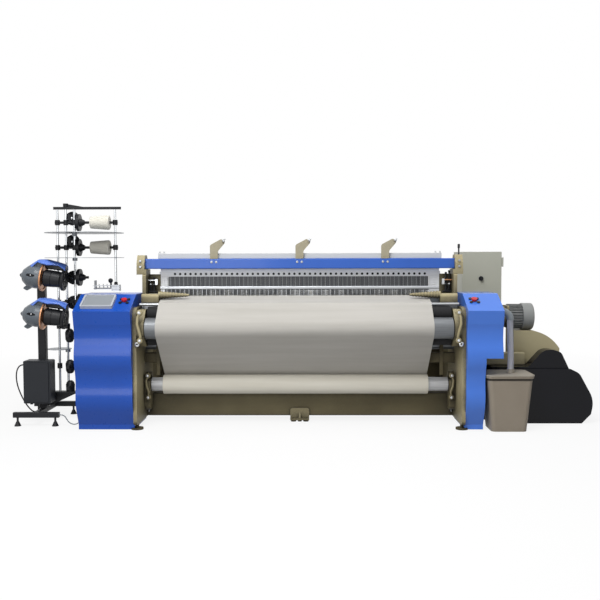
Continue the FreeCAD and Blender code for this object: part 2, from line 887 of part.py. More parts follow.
def roller_brackets():
    """The castings that hold the take-up roller and its two press rollers."""
    brackets = []
    for side in (LEFT, RIGHT):
        outline = [
            (s.take_up_y - 62, s.take_up_z - 50, 40),
            (lower_press_y - 30, lower_press_z - 48, 30),
            (lower_press_y + 42, lower_press_z - 48, 30),
            (lower_press_y + 46, lower_press_z + 30, 40),
            (upper_press_y + 10, s.take_up_z, 30),
            (upper_press_y + 36, upper_press_z - 10, 40),
            (upper_press_y + 36, upper_press_z + 36, 26),
            (upper_press_y - 60, upper_press_z + 36, 40),
            (s.take_up_y - 62, s.take_up_z + 40, 50),
        ]
        bores = [
            Hole(s.take_up_y, s.take_up_z, s.journal + s.turn_gap),
            Hole(upper_press_y, upper_press_z, s.press_journal + s.turn_gap),
            Hole(lower_press_y, lower_press_z, s.press_journal + s.turn_gap),
        ]
        brackets.append(profile("YZ", out(side, inner - s.bracket_inset, inner), outline,
                                *bores))
    group("roller_brackets", brackets)


def cloth_roll_brackets():
    """The open hooks that the cloth roller's journals lie in."""
    bore = s.cloth_journal + s.turn_gap
    y, z = s.cloth_roll_y, s.cloth_roll_z
    hooks = []
    for side in (LEFT, RIGHT):
        outline = [
            (y - 62, z - 190, 30), (s.low_beam_y, z - 190), (s.low_beam_y, z - 40, 20),
            (y + 66, z, 30), (y + 66, z + 92, 22),
            (y + bore, z + 92, 12), (y + bore, z, 0, -bore), (y - bore, z),
            (y - bore, z + 36, 10), (y - 60, z + 50, 18)]
        hooks.append(profile("YZ", out(side, inner - s.hook_inset, inner), outline))
    group("cloth_roll_brackets", hooks)


def top_beam():
    size = (s.top_beam_deep, s.top_beam_high, s.beam_wall / 2)
    node("top_beam", hollow_beam(s.top_beam_y, s.top_beam_z, size, 7, top_beam_half))


def heald_guide(side):
    """An upright guide with a channel for the end of each heald frame."""
    frame_end = heald_half + s.slide_gap
    tip = heald_half - s.guide_lip
    gap = s.slide_gap
    first, second = s.heald_y, s.heald_y + s.heald_step
    deep = s.heald_deep
    back = second + deep + gap + 9
    slots = [(tip, first - gap - 9), (inner, first - gap - 9), (inner, back), (tip, back),
             (tip, second + deep + gap), (frame_end, second + deep + gap),
             (frame_end, second - gap), (tip, second - gap),
             (tip, first + deep + gap), (frame_end, first + deep + gap),
             (frame_end, first - gap), (tip, first - gap)]
    outline = [(x * side, y) for x, y in slots]
    return profile("XY", (s.heald_low_z - 20, s.column_top_z), outline)


def top_beam_brackets():
    """The castings on the columns that carry the top beam, and the heald guides below."""
    pieces = []
    for side in (LEFT, RIGHT):
        foot = block(out(side, inner, top_beam_half + s.bracket_reach),
                     (s.column_front_y + 14, s.column_back_y - 20),
                     (s.column_top_z, s.top_beam_z - 4))
        cheek = profile("YZ", out(side, top_beam_half, top_beam_half + s.bracket_reach), [
            (s.column_front_y + 14, s.top_beam_z - 8),
            (s.column_back_y - 20, s.top_beam_z - 8),
            (s.column_back_y - 35, s.bracket_top_z - 60, 20),
            (s.top_beam_y + s.top_beam_deep + 12, s.bracket_top_z, 14),
            (s.top_beam_y - 6, s.bracket_top_z, 14),
            (s.column_front_y + 20, s.bracket_top_z - 60, 20)])
        pieces.append(fuse(foot, cheek))
        pieces.append(heald_guide(side))
    group("top_beam_brackets", pieces)


def hanger_arm(x):
    """A bent arm on the top beam: an upright plate that leans over to the right."""
    base = s.top_beam_z + s.top_beam_high
    half = s.hanger_wide / 2
    knee = base + s.hanger_rise
    tip = x + s.hanger_lean
    top = knee + s.hanger_lift
    front = s.top_beam_y
    middle = front + s.hanger_deep / 2
    thick = (middle - s.hanger_thick / 2, middle + s.hanger_thick / 2)
    plate = profile("XZ", thick, [
        (x - half, base), (x + half, base), (x + half, knee - half, 30),
        (tip, top - half, 8), (tip + 6, top, 8), (tip - half, top, 8),
        (x - half, knee + 16, 22)])
    foot = block((x - half, x + half), (front, front + s.hanger_deep),
                 (base, base + s.hanger_foot))
    hook = rod("y", (thick[0] - 24, thick[1] + 6), (tip - 6, top - 12), 9)
    return fuse(plate, foot, hook)


def cable_duct():
    """The duct that lies along the back of the top beam, with the screws of its lid."""
    base = s.top_beam_z + s.top_beam_high
    back = s.top_beam_y + s.top_beam_deep
    top = base + s.duct_high
    duct = profile("YZ", (-s.duct_half, s.duct_half), rectangle(
        (back - s.duct_deep, back), (base, top), 3))
    screws = [rod("z", (top - 1, top + 2 * s.duct_screw),
                  ((s.duct_half - inset) * side, back - s.duct_deep / 2), s.duct_screw)
              for side in (LEFT, RIGHT) for inset in (12, 46)]
    return fuse(duct, *screws)


def hanger_arms():
    arms = [hanger_arm(s.hanger_spacing * step) for step in (-1, 0, 1)]
    group("hanger_arms", arms + [cable_duct()])


# ---------------------------------------------------------------------------------------
# Rollers, cloth and warp
# ---------------------------------------------------------------------------------------
def roller(label, y, z, radius, half, journal):
    """A plain roller with a journal at each end, along X."""
    end = inner - 4
    node(label, fuse(rod("x", (-half, half), (y, z), radius),
                     rod("x", (-end, end), (y, z), journal)))


def rollers():
    roller("take_up_roller", s.take_up_y, s.take_up_z, s.take_up_radius, roller_half,
           s.journal)
    roller("upper_press_roller", upper_press_y, upper_press_z, s.upper_press_radius,
           roller_half, s.press_journal)
    roller("lower_press_roller", lower_press_y, lower_press_z, s.lower_press_radius,
           roller_half, s.press_journal)
    roller("cloth_roller", s.cloth_roll_y, s.cloth_roll_z, s.cloth_core_radius,
           core_half, s.cloth_journal)
    node("cloth_roll", tube("x", (-fabric_left, fabric_right),
                            (s.cloth_roll_y, s.cloth_roll_z), s.cloth_roll_radius,
                            s.cloth_core_radius))
    half = back_rest_half
    end = outer - 4
    middle = (s.back_rest_y, back_rest_z)
    node("back_rest_roller", fuse(rod("x", (-half, half), middle, s.back_rest_radius),
                                  rod("x", (-end, end), middle, s.back_journal)))


def warp_beam():
    """The flanged beam at the back and the yarn wound on it."""
    middle = (s.warp_beam_y, s.warp_beam_z)
    half = warp_roll_half
    end = outer - 4
    parts = [rod("x", (-half, half), middle, s.warp_core_radius),
             rod("x", (-end, end), middle, s.warp_journal)]
    for side in (LEFT, RIGHT):
        parts.append(rod("x", out(side, half, half + s.warp_flange_thick), middle,
                         s.warp_flange_radius))
    node("warp_beam", fuse(*parts))
    node("warp_roll", tube("x", (-half, half), middle, s.warp_roll_radius,
                           s.warp_core_radius))


def tangent(start, start_radius, end, end_radius):
    """The ends of the straight run between two circles; a radius is positive where the
    circle's middle lies to the left of the way, and 0 for a point."""
    way = end - start
    spread = end_radius - start_radius
    long = math.sqrt(way.Length ** 2 - spread ** 2)
    heading = math.atan2(way.y, way.x) - math.atan2(spread, long)
    left = Vector(-math.sin(heading), math.cos(heading), 0)
    return start - left * start_radius, end - left * end_radius


def wrapped_line(stops):
    """The edges of a line pulled tight over circles, each stop being (y, z, radius)."""
    middles = [Vector(y, z, 0) for y, z, _ in stops]
    runs = []
    for index in range(len(stops) - 1):
        runs.append(tangent(middles[index], stops[index][2],
                            middles[index + 1], stops[index + 1][2]))
    edges = []
    for index, (start, stop) in enumerate(runs):
        edges.append(Part.LineSegment(start, stop).toShape())
        if index + 1 < len(runs):
            middle = middles[index + 1]
            after = runs[index + 1][0]
            way = ((stop - middle) + (after - middle)).normalize()
            top = middle + way * abs(stops[index + 1][2])
            edges.append(Part.Arc(stop, top, after).toShape())
    return edges, runs[0][0], runs[-1][1]


def wrapped_sheet(left, right, stops, thick):
    """A thin sheet pulled tight over rollers, between two X values. The first stop is a
    point of the face that lies to the left of the way."""
    near, near_start, near_end_point = wrapped_line(stops)
    start_y, start_z, _ = stops[0]
    lift = math.copysign(thick, start_y - stops[1][0])
    far_stops = [(start_y, start_z + lift, 0)]
    far_stops += [(y, z, radius + thick) for y, z, radius in stops[1:]]
    far, far_start, far_end_point = wrapped_line(far_stops)
    caps = [Part.LineSegment(near_start, far_start).toShape(),
            Part.LineSegment(near_end_point, far_end_point).toShape()]
    wire = Part.Wire(Part.__sortEdges__(near + far + caps))
    face = Part.Face(wire)
    to_row = FreeCAD.Matrix(0, 0, 1, left, 1, 0, 0, 0, 0, 1, 0, 0, 0, 0, 0, 1)
    return face.transformGeometry(to_row).extrude(Vector(right - left, 0, 0))


def feature(label, shape):
    """A sub-part whose shape is worked out here from the sheet's sizes."""
    item = doc.addObject("Part::Feature", "shape")
    item.Shape = shape
    return node(label, item)


def fabric():
    """The cloth from the fell over the breast beam and the take-up roller to its roll."""
    gap, thick = s.cloth_gap.mm, s.fabric_thick.mm
    nose = s.breast_nose.mm
    stops = [
        (s.fell_y.mm, s.warp_line_z.mm - thick / 2, 0),
        (s.breast_front_y.mm + nose, s.breast_top_z.mm - nose, nose + gap),
        (s.take_up_y.mm, s.take_up_z.mm, s.take_up_radius.mm + gap),
        (s.cloth_roll_y.mm, s.cloth_roll_z.mm, -(s.cloth_roll_radius.mm + gap + thick)),
    ]
    feature("fabric", wrapped_sheet(-fabric_left.mm, fabric_right.mm, stops, thick))


def strip_places():
    """The middle of each warp strip on X; the reed and heald wires lie half way between."""
    count = round(number((fabric_left + fabric_right) / s.wire_pitch))
    first = -fabric_left + s.strip_margin
    return [first + s.wire_pitch * index for index in range(count)]


def wire_places():
    places = strip_places()
    half = s.wire_pitch / 2
    return [places[0] - half] + [place + half for place in places]


def warp_sheet():
    """Strips of warp through reed and healds, and the sheet from there to the beam."""
    gap, thick = s.cloth_gap.mm, s.warp_strip_thick.mm
    low = s.warp_line_z - s.warp_strip_thick / 2
    lease = s.stop_y + s.stop_cheek_deep
    strips = [block((x - s.warp_strip_wide / 2, x + s.warp_strip_wide / 2),
                    (s.fell_y, lease), (low, low + s.warp_strip_thick))
              for x in strip_places()]
    stops = [
        (lease.mm, low.mm + thick, 0),
        (s.back_rest_y.mm, back_rest_z.mm, -(s.back_rest_radius.mm + gap + thick)),
        (s.warp_beam_y.mm, s.warp_beam_z.mm, -(s.warp_roll_radius.mm + gap + thick)),
    ]
    half = warp_roll_half.mm - 2
    sheet_part = doc.addObject("Part::Feature", "open_warp")
    sheet_part.Shape = wrapped_sheet(-half, half, stops, thick)
    group("warp_sheet", strips + [sheet_part])


def sley():
    """The rocking beam under the reed, its swords and its shaft."""
    front, back = s.sley_front_y, s.sley_back_y
    low, top = s.sley_low_z, s.sley_top_z
    reed_back = s.reed_y + s.reed_deep
    beam = profile("YZ", (-sley_half, sley_half), [
        (front, low, 10), (back, low, 14), (back, top - 16, 10), (reed_back + 14, top),
        (reed_back + 14, top + s.reed_seat - 2), (reed_back, top + s.reed_seat - 2),
        (reed_back, top), (s.reed_y, top), (s.reed_y, top + s.reed_seat - 2),
        (front, top + s.reed_seat - 2)])
    middle = (s.rock_y, s.rock_z)
    parts = [beam, rod("x", (4 - outer, outer - 4), middle, s.rock_radius)]
    for step in (-1.5, -0.5, 0.5, 1.5):
        x = s.sword_spacing * step
        across = (x - s.sword_thick / 2, x + s.sword_thick / 2)
        parts.append(rod("x", (x - s.sword_thick, x + s.sword_thick), middle,
                         s.rock_radius + 16))
        parts.append(profile("YZ", across, [
            (s.rock_y - 42, s.rock_z), (s.rock_y + 42, s.rock_z),
            (back - 8, low + 8), (front + 8, low + 8)]))
    nozzle = (s.sley_front_y + 7, top + 28)
    parts.append(block((-sley_half, 20 - sley_half), (front, s.reed_y),
                       (top, nozzle[1])))
    parts.append(rod("x", (-sley_half - 32, 44 - sley_half), nozzle, 6))
    node("sley", fuse(*parts))


def reed():
    """The comb that beats up the weft: wires between a foot and a cap."""
    y = (s.reed_y, s.reed_y + s.reed_deep)
    across = (-reed_half, reed_half)
    foot = block(across, y, (s.sley_top_z, s.sley_top_z + s.reed_seat - 4))
    cap_low = s.reed_top_z - s.reed_cap_high
    cap = profile("YZ", across, rectangle((y[0] - 4, y[1] + 4), (cap_low, s.reed_top_z), 6))
    wires = [block((x - s.reed_wire / 2, x + s.reed_wire / 2), (y[0] + 1, y[1] - 1),
                   (s.sley_top_z + 4, cap_low + 6)) for x in wire_places()]
    node("reed", fuse(foot, cap, *wires))


def heald_frame(label, y, holes):
    """A frame with a wire for the warp between each pair of strips."""
    low, top = s.heald_low_z, s.heald_top_z
    half = heald_half
    rail = s.heald_rail_high
    plate = [rectangle((-half, half), (low, top), 5),
             rectangle((-half + s.heald_stay, half - s.heald_stay), (low + rail, top - rail))]
    if holes:
        count = int(number((half - 120) / s.rail_hole_pitch))
        for index in range(-count, count + 1):
            plate.append(Hole(s.rail_hole_pitch * index, top - rail / 2, s.rail_hole))
    frame = profile("XZ", (y, y + s.heald_deep), *plate)
    middle = y + s.heald_deep / 2
    wires = [block((x - s.heald_wire / 2, x + s.heald_wire / 2),
                   (middle - s.heald_wire / 2, middle + s.heald_wire / 2),
                   (low + rail - 4, top - rail + 4)) for x in wire_places()]
    node(label, fuse(frame, *wires))


def warp_stop_motion():
    """A bar of drop wires that hang between the warp strips, and its two cheeks."""
    y = (s.stop_y, s.stop_y + s.stop_bar_high)
    wires = [block((x - s.drop_wire_thick / 2, x + s.drop_wire_thick / 2),
                   (y[0] - 2, y[0] - 2 + s.drop_wire_wide),
                   (s.drop_wire_low_z, s.stop_bar_z + s.stop_bar_high - 4))
             for x in wire_places()[::2]]
    bar = block((-inner, inner), y, (s.stop_bar_z, s.stop_bar_z + s.stop_bar_high))
    parts = [fuse(bar, *wires)]
    for side in (LEFT, RIGHT):
        cheek = profile("YZ", out(side, inner, outer), [
            (y[0] - 20, s.frame_rear_z), (y[1] + 30, s.frame_rear_z),
            (y[1] + 8, s.stop_bar_z + 26, 10), (y[0] - 8, s.stop_bar_z + 26, 10)])
        parts.append(cheek)
    group("warp_stop_motion", parts)


# ---------------------------------------------------------------------------------------
# Covers, housings and controls
# ---------------------------------------------------------------------------------------
slope_rise = s.cover_top_z - s.cover_edge_z
slope_long = hypotenuse(slope_rise, s.slope_run)
slope_cos = s.slope_run / slope_long
slope_sin = slope_rise / slope_long
slope_tilt = slope_angle(slope_rise, s.slope_run)


def on_slope(x, up, lift):
    """A point by its way up the covers' slope and its height square to the slope."""
    return (x, s.cover_front_y + up * slope_cos - lift * slope_sin,
            s.cover_edge_z + up * slope_sin + lift * slope_cos)


def slope_rod(x, up, span, radius):
    """A round bar square to the slope."""
    item = doc.addObject("Part::Cylinder", "rod")
    bind(item, "Radius", radius)
    bind(item, "Height", span[1] - span[0])
    turned(item, X_AXIS, slope_tilt)
    return move(item, *on_slope(x, up, span[0]))


def wavy_cover(side, near, far):
    """A moulded front cover: a flat top, a sloping desk, and a front that swells twice."""
    front, back = s.cover_front_y, s.cover_back_y
    outline = [
        (front + s.toe_in, s.cover_low_z, 0),
        (back, s.cover_low_z, 0),
        (back, s.cover_top_z, 18),
        (front + s.slope_run, s.cover_top_z, 40),
        (front, s.cover_edge_z),
        (front + s.brow_in, s.brow_z, 0, -s.brow_radius),
        (front + s.belly_in, s.belly_z, 0, s.belly_radius),
        (front + s.waist_in, s.waist_z, 0, -s.waist_radius),
        (front + s.shin_in, s.shin_z, 0, s.shin_radius),
        (front + s.ankle_in, s.ankle_z),
        (front + s.toe_in, s.toe_z),
    ]
    return profile("YZ", out(side, near, far), outline)


def keys(x, up):
    """The round push buttons at the corners of a square, on one cover."""
    half = s.key_spacing / 2
    return [slope_rod(x + half * across, up + half * along, (-2, s.key_high), s.key_radius)
            for across in (-1, 1) for along in (-1, 1)]


def button_hole(x):
    return slope_rod(x, s.button_up, (-2.5 * s.button_stem, 1), s.button_stem + s.turn_gap)


def foot_relief(side):
    """The room that a cover leaves for the plate of the front levelling foot."""
    middle = ((inner + outer) / 2 * side, s.frame_front_y + s.foot_inset)
    return rod("z", (0, s.foot_plate + 2), middle, s.foot_radius + 2)


def front_covers():
    left = wavy_cover(LEFT, outer, outer + s.left_cover_wide)
    node("left_front_cover", cut(fuse(left, *keys(left_button_x, s.button_up)),
                                 button_hole(left_button_x), foot_relief(LEFT)))
    right = wavy_cover(RIGHT, outer, outer + s.right_cover_wide)
    notch = block((outer + s.right_cover_low_wide, outer + s.right_cover_wide + 1),
                  (s.cover_front_y - 40, s.cover_back_y + 1), (0, s.right_notch_z))
    node("right_front_cover", cut(fuse(right, *keys(right_button_x, s.button_up)),
                                  notch, button_hole(right_button_x), foot_relief(RIGHT)))


def stop_button(label, x):
    """A mushroom button with its stem in the cover."""
    lift = s.key_high + s.button_travel - 4
    stem = slope_rod(x, s.button_up, (-2 * s.button_stem, lift + 2), s.button_stem)
    head = slope_rod(x, s.button_up, (lift, lift + s.button_cap), s.button_radius)
    node(label, fuse(stem, head))


def touch_screen():
    """The screen's housing on the left cover's desk, with its recessed face."""
    rim, thick = s.screen_rim, s.screen_thick
    body = profile("XY", (0, thick), rectangle((0, s.screen_wide), (0, s.screen_tall), 12))
    face = block((rim, s.screen_wide - rim), (rim, s.screen_tall - rim),
                 (thick - s.screen_sink, thick + 1))
    item = turned(cut(body, face), X_AXIS, slope_tilt)
    low = s.screen_up - s.screen_tall / 2
    node("touch_screen", move(item, *on_slope(screen_x - s.screen_wide / 2, low, 0)))


def gear_housings():
    """The castings outside the side frames; the right one carries the clutch and motor."""
    y = (s.cover_back_y, s.housing_back_y)
    z = (s.housing_low_z, s.housing_high_z)
    left = profile("YZ", out(LEFT, outer, outer + s.left_housing_wide), rectangle(y, z, 50))
    right = profile("YZ", out(RIGHT, outer, outer + s.right_housing_wide),
                    rectangle(y, z, 50))
    middle = (s.motor_y, s.motor_z)
    clutch = rod("x", (outer + s.right_housing_wide - 5, motor_flange_x), middle,
                 s.clutch_radius)
    half = s.motor_flange_wide / 2
    flange = profile("YZ", (motor_flange_x, motor_flange_x + s.motor_flange), rectangle(
        (s.motor_y - half, s.motor_y + half), (s.motor_z - half, s.motor_z + half), 14))
    group("gear_housings", [left, fuse(right, clutch, flange)])


def temples():
    """The blocks on the breast beam's ends and the ribbed tapers that spread the cloth."""
    pieces = []
    middle = (s.temple_y, s.temple_z)
    half = s.temple_deep / 2
    fall = (s.temple_big - s.temple_small) / s.temple_reach
    for side in (LEFT, RIGHT):
        near = inner - s.temple_wide
        body = profile("YZ", out(side, near, inner), [
            (s.temple_y - half, s.breast_top_z, 3), (s.temple_y + half, s.breast_top_z, 3),
            (s.temple_y + half, s.breast_top_z + s.temple_high, 16),
            (s.temple_y - half, s.breast_top_z + s.temple_high, 26)])
        radii = (s.temple_small, s.temple_big)
        if side == LEFT:
            radii = (s.temple_big, s.temple_small)
        parts = [body, taper("x", out(side, near - s.temple_reach, near + 5), middle, *radii)]
        pitch = s.temple_reach / (s.temple_ribs + 1)
        for step in range(1, int(SIZES["temple_ribs"]) + 1):
            run = pitch * step
            parts.append(rod("x", out(side, near - run, near - run + s.temple_rib_wide),
                             middle, s.temple_big - fall * run + s.temple_rib))
        pieces.append(fuse(*parts))
    group("temples", pieces)


def electrical_cabinet():
    """The sheet cabinet with its mounting plate and switchgear, open to the front."""
    x = (cabinet_x, cabinet_x + s.cabinet_wide)
    y = (s.cabinet_y, s.cabinet_y + s.cabinet_deep)
    z = (s.cabinet_low_z, s.cabinet_top_z)
    wall = s.cabinet_wall
    shell = cut(block(x, y, z), block((x[0] + wall, x[1] - wall), (y[0] - 1, y[1] - wall),
                                      (z[0] + wall, z[1] - wall)))
    pin_y = s.cabinet_y - s.door_gap - s.door_thick / 2
    pin_x = x[1] + s.hinge_radius
    knuckles = []
    for low in hinge_heights():
        knuckle = tube("z", (low, low + s.hinge_high), (pin_x, pin_y), s.hinge_radius,
                       s.hinge_pin + s.fit_gap)
        leaf = block((x[1] - 1, pin_x + s.hinge_radius), (s.cabinet_y + 2, s.cabinet_y + 30),
                     (low, low + s.hinge_high))
        web = block((pin_x + s.hinge_pin + 1, pin_x + s.hinge_radius),
                    (pin_y, s.cabinet_y + 3), (low, low + s.hinge_high))
        knuckles += [knuckle, leaf, web]
    body = fuse(shell, *knuckles)
    back = y[1] - wall
    plate = block((x[0] + 30, x[1] - 30), (back - 12, back), (z[0] + 60, z[1] - 60))
    gear = []
    for row in range(3):
        low = z[0] + 150 + 230 * row
        for column in range(2):
            left = x[0] + 50 + 130 * column
            gear.append(block((left, left + 105), (back - 110, back - 12), (low, low + 150)))
    group("electrical_cabinet", [body, plate] + gear)


def hinge_heights():
    """The lower ends of the cabinet's two hinge knuckles."""
    return [s.cabinet_low_z + 90, s.cabinet_top_z - 90 - s.hinge_high]


def cabinet_door():
    """The door leaf with a turned-back edge, its hinge pins and the switch's bore."""
    x = (cabinet_x, cabinet_x + s.cabinet_wide - 2)
    back = s.cabinet_y - s.door_gap
    leaf = profile("XZ", (back - s.door_thick, back), rectangle(
        x, (s.cabinet_low_z, s.cabinet_top_z), 4))
    pin = (cabinet_x + s.cabinet_wide + s.hinge_radius, back - s.door_thick / 2)
    parts = [leaf]
    for low in hinge_heights():
        above = low + s.hinge_high + 0.5
        parts.append(rod("z", (low + 4, above + 2), pin, s.hinge_pin))
        parts.append(rod("z", (above, above + s.hinge_high), pin, s.hinge_radius))
        parts.append(block((x[1] - 4, pin[0]), (pin[1] - 3, pin[1] + 3),
                           (above, above + s.hinge_high)))
    bore = rod("y", (back - s.door_thick - 1, back + 1), (switch_x, s.switch_z),
               s.switch_shaft + s.fit_gap)
    node("cabinet_door", cut(fuse(*parts), bore))


def main_switch():
    """The rotary switch on the door: shaft, disc and grip."""
    face = s.cabinet_y - s.door_gap - s.door_thick
    middle = (switch_x, s.switch_z)
    shaft = rod("y", (face - 2, face + s.door_thick + 14), middle, s.switch_shaft)
    disc = rod("y", (face - 9, face - 0.4), middle, s.switch_radius)
    grip = profile("XZ", (face - 26, face - 8), rectangle(
        (switch_x - 7, switch_x + 7),
        (s.switch_z - s.switch_radius + 3, s.switch_z + s.switch_radius - 3), 5))
    node("main_switch", fuse(shaft, disc, grip))


def side_brackets():
    """The square tubes that carry the cabinet from the right side frame."""
    arms = []
    for y in (s.rear_window_y + s.rear_window_wide + 20, s.frame_back_y - 120):
        z = s.cabinet_low_z + 90
        outer_loop = rectangle((y, y + 60), (z, z + 60), 6)
        inner_loop = rectangle((y + 5, y + 55), (z + 5, z + 55))
        arms.append(profile("YZ", (outer, cabinet_x), outer_loop, inner_loop))
    group("side_brackets", arms)


def drive_motor():
    """The finned motor on the clutch housing's flange, and the cowl over its fan."""
    start = motor_flange_x + s.motor_flange
    body = doc.addObject("PartDesign::Body", "body")
    core = body.newObject("PartDesign::Pad", "core")
    core.Profile = draw(body, "YZ", [Hole(0, 0, s.motor_radius)])
    bind(core, "Length", s.motor_long)
    fin = body.newObject("PartDesign::Pad", "fin")
    fin.Profile = draw(body, "YZ", [rectangle(
        (-2.2, 2.2), (s.motor_radius - 4, s.motor_radius + s.motor_fin))])
    bind(fin, "Length", s.motor_long)
    ring = body.newObject("PartDesign::PolarPattern", "fins")
    ring.Originals = [fin]
    ring.Axis = (core.Profile[0], ["N_Axis"])
    ring.Angle = 360
    ring.Occurrences = 28
    body.Tip = ring
    move(body, start, s.motor_y, s.motor_z)
    cowl_x = start + s.motor_long
    cowl = turning([
        (0, 30), (0, s.cowl_radius, 3), (s.cowl_long, s.cowl_radius, 14),
        (s.cowl_long, s.cowl_radius - 22), (s.cowl_long - 8, s.cowl_radius - 22),
        (s.cowl_long - 8, s.cowl_radius - 42), (s.cowl_long, s.cowl_radius - 42),
        (s.cowl_long, s.cowl_radius - 60), (s.cowl_long - 8, s.cowl_radius - 60),
        (s.cowl_long - 8, 12), (s.cowl_long, 12), (s.cowl_long, 0), (4, 0), (4, 30)])
    move(cowl, cowl_x, s.motor_y, s.motor_z)
    group("drive_motor", [body, cowl])


def drive_covers():
    """The black moulded cover, and the beige box and belt guard that stand on it."""
    left, right = black_left_x, black_right_x
    top = s.black_top_z
    face = s.black_front_y
    seam = face + s.black_lobe_deep
    flank = [(right - s.toe_cut, 0, 6), (right - 8, s.toe_cut_z, 12),
             (right + s.flank_bulge, s.flank_z, s.flank_radius),
             (right - s.shoulder_in, s.shoulder_z, 80)]
    front = profile("XZ", (face, seam), [(left, 0, 8)] + flank + [
        (right - s.neck_in, s.neck_z, 20), (left, s.neck_z, 12)])
    lobe = profile("XZ", (face + s.lobe_back, seam), [
        (left, s.neck_z - 20), (right - s.neck_in + 2, s.neck_z - 20),
        (right - s.neck_in - 10, s.neck_z + 12, 20), (right - s.lobe_right, s.lobe_top_z - 18, 50),
        (right - s.lobe_crown, s.lobe_top_z, 100), (right - s.lobe_fall, s.lobe_top_z - 3, 90),
        (right - s.lobe_left, top, 20), (left, top, 12)])
    seat = outer + s.right_housing_wide
    rear = profile("XZ", (seam - 1, s.black_back_y), [(seat, 0)] + flank + [
        (right - s.belt_from_end - 2, top, 30), (seat, top)])
    node("black_drive_cover", fuse(front, lobe, rear))
    x = (side_box_left_x, side_box_right_x)
    node("lower_side_box", profile("YZ", x, rectangle(
        (seam + 1, s.belt_front_y - 1), (top, s.side_box_top_z), 8)))
    belt = [(belt_left_x, top), (belt_right_x - s.belt_tuck, top),
            (belt_right_x, s.belt_tip_z, 0, s.belt_radius),
            (belt_left_x + s.belt_flat, s.belt_top_z, 0), (belt_left_x, s.belt_top_z, 10)]
    node("belt_cover", profile("XZ", (s.belt_front_y, s.belt_back_y), belt))


def rounded_section(x, y, z, wide, deep, rounding):
    """A level rounded rectangle as a wire."""
    half_x, half_y = wide / 2 - rounding, deep / 2 - rounding
    edges = []
    corners = [(1, 1, 0), (-1, 1, 90), (-1, -1, 180), (1, -1, 270)]
    for index, (across, along, start) in enumerate(corners):
        middle = Vector(x + half_x * across, y + half_y * along, z)
        circle = Part.Circle(middle, Z_AXIS, rounding)
        first, last = math.radians(start), math.radians(start + 90)
        edges.append(Part.ArcOfCircle(circle, first, last).toShape())
        ahead = corners[(index + 1) % 4]
        nxt = Vector(x + half_x * ahead[0], y + half_y * ahead[1], z)
        turn = Vector(math.cos(last), math.sin(last), 0) * rounding
        edges.append(Part.LineSegment(middle + turn, nxt + turn).toShape())
    return Part.Wire(edges)


def waste_bin():
    """The tapered bin with its wall, floor and lip, and the lid with the hose's collar."""
    x, y, high, wall = bin_x.mm, s.bin_y.mm, s.bin_high.mm, s.bin_wall.mm
    wide, deep = s.bin_rim_wide.mm, s.bin_rim_deep.mm
    low_wide, low_deep = s.bin_base_wide.mm, s.bin_base_deep.mm
    bend = s.bin_round.mm
    lip = s.bin_lip.mm
    outside = Part.makeLoft([
        rounded_section(x, y, 0, low_wide, low_deep, bend),
        rounded_section(x, y, high, wide, deep, bend)], True)
    share = (wall + 1) / high
    floor_wide = low_wide + (wide - low_wide) * share
    floor_deep = low_deep + (deep - low_deep) * share
    inside = Part.makeLoft([
        rounded_section(x, y, wall + 1, floor_wide - 2 * wall, floor_deep - 2 * wall,
                        bend - wall),
        rounded_section(x, y, high, wide - 2 * wall, deep - 2 * wall, bend - wall)], True)
    rim = Part.Face(rounded_section(x, y, high - 14, wide + 2 * lip, deep + 2 * lip,
                                    bend + lip)).extrude(Vector(0, 0, 14))
    feature("waste_bin", outside.fuse(rim).cut(inside).removeSplitter())
    top = (high, high + s.lid_thick.mm)
    reach = lip + s.lid_skirt.mm / 4
    lid = Part.Face(rounded_section(x, y, top[0], wide + 2 * reach, deep + 2 * reach,
                                    bend + reach)).extrude(Vector(0, 0, top[1] - top[0]))
    collar = hose_collar()
    feature("bin_lid", lid.fuse(collar[0]).cut(collar[1]).removeSplitter())


def hose_collar():
    """The collar on the lid, as the solid to add and the bore to take away."""
    low = s.bin_high.mm
    reach = s.hose_radius.mm + s.fitting_wall.mm
    foot = Vector(hose_end_x(), s.hose_y.mm, low)
    high = s.lid_thick.mm + s.fitting_high.mm
    bore = s.hose_radius.mm - s.hose_wall.mm
    return Part.makeCylinder(reach, high, foot), Part.makeCylinder(bore, high + 1, foot)


def hose_end_x():
    return (outer + s.right_cover_wide).mm + s.elbow_out.mm + s.hose_bend.mm + s.hose_drift.mm


def bent_tube(points, radius, bore=0):
    """A tube along straight runs joined by arcs that are as large as the runs allow."""
    path = [Vector(*point) for point in points]
    edges = []
    start = path[0]
    radii = []
    for before, corner, after in zip(path, path[1:], path[2:]):
        reach = 0.45 * min((corner - before).Length, (after - corner).Length)
        back = (before - corner).normalize()
        ahead = (after - corner).normalize()
        half = back.getAngle(ahead) / 2
        bend = reach * math.tan(half)
        radii.append(round(bend))
        enter, leave = corner + back * reach, corner + ahead * reach
        top = corner + (back + ahead).normalize() * (bend / math.sin(half) - bend)
        edges.append(Part.LineSegment(start, enter).toShape())
        edges.append(Part.Arc(enter, top, leave).toShape())
        start = leave
    edges.append(Part.LineSegment(start, path[-1]).toShape())
    route = Part.Wire(edges)
    way = (path[1] - path[0]).normalize()

    def sweep(size):
        ring = Part.Wire(Part.Circle(path[0], way, size).toShape())
        return route.makePipeShell([ring], True, False)

    solid = sweep(radius)
    section = math.pi * radius ** 2
    if bore:
        solid = solid.cut(sweep(bore))
        section -= math.pi * bore ** 2
    ratio = solid.Volume / (section * route.Length)
    print(f"tube of {route.Length:.0f} mm, radii {radii}, volume ratio {ratio:.4f}")
    return solid


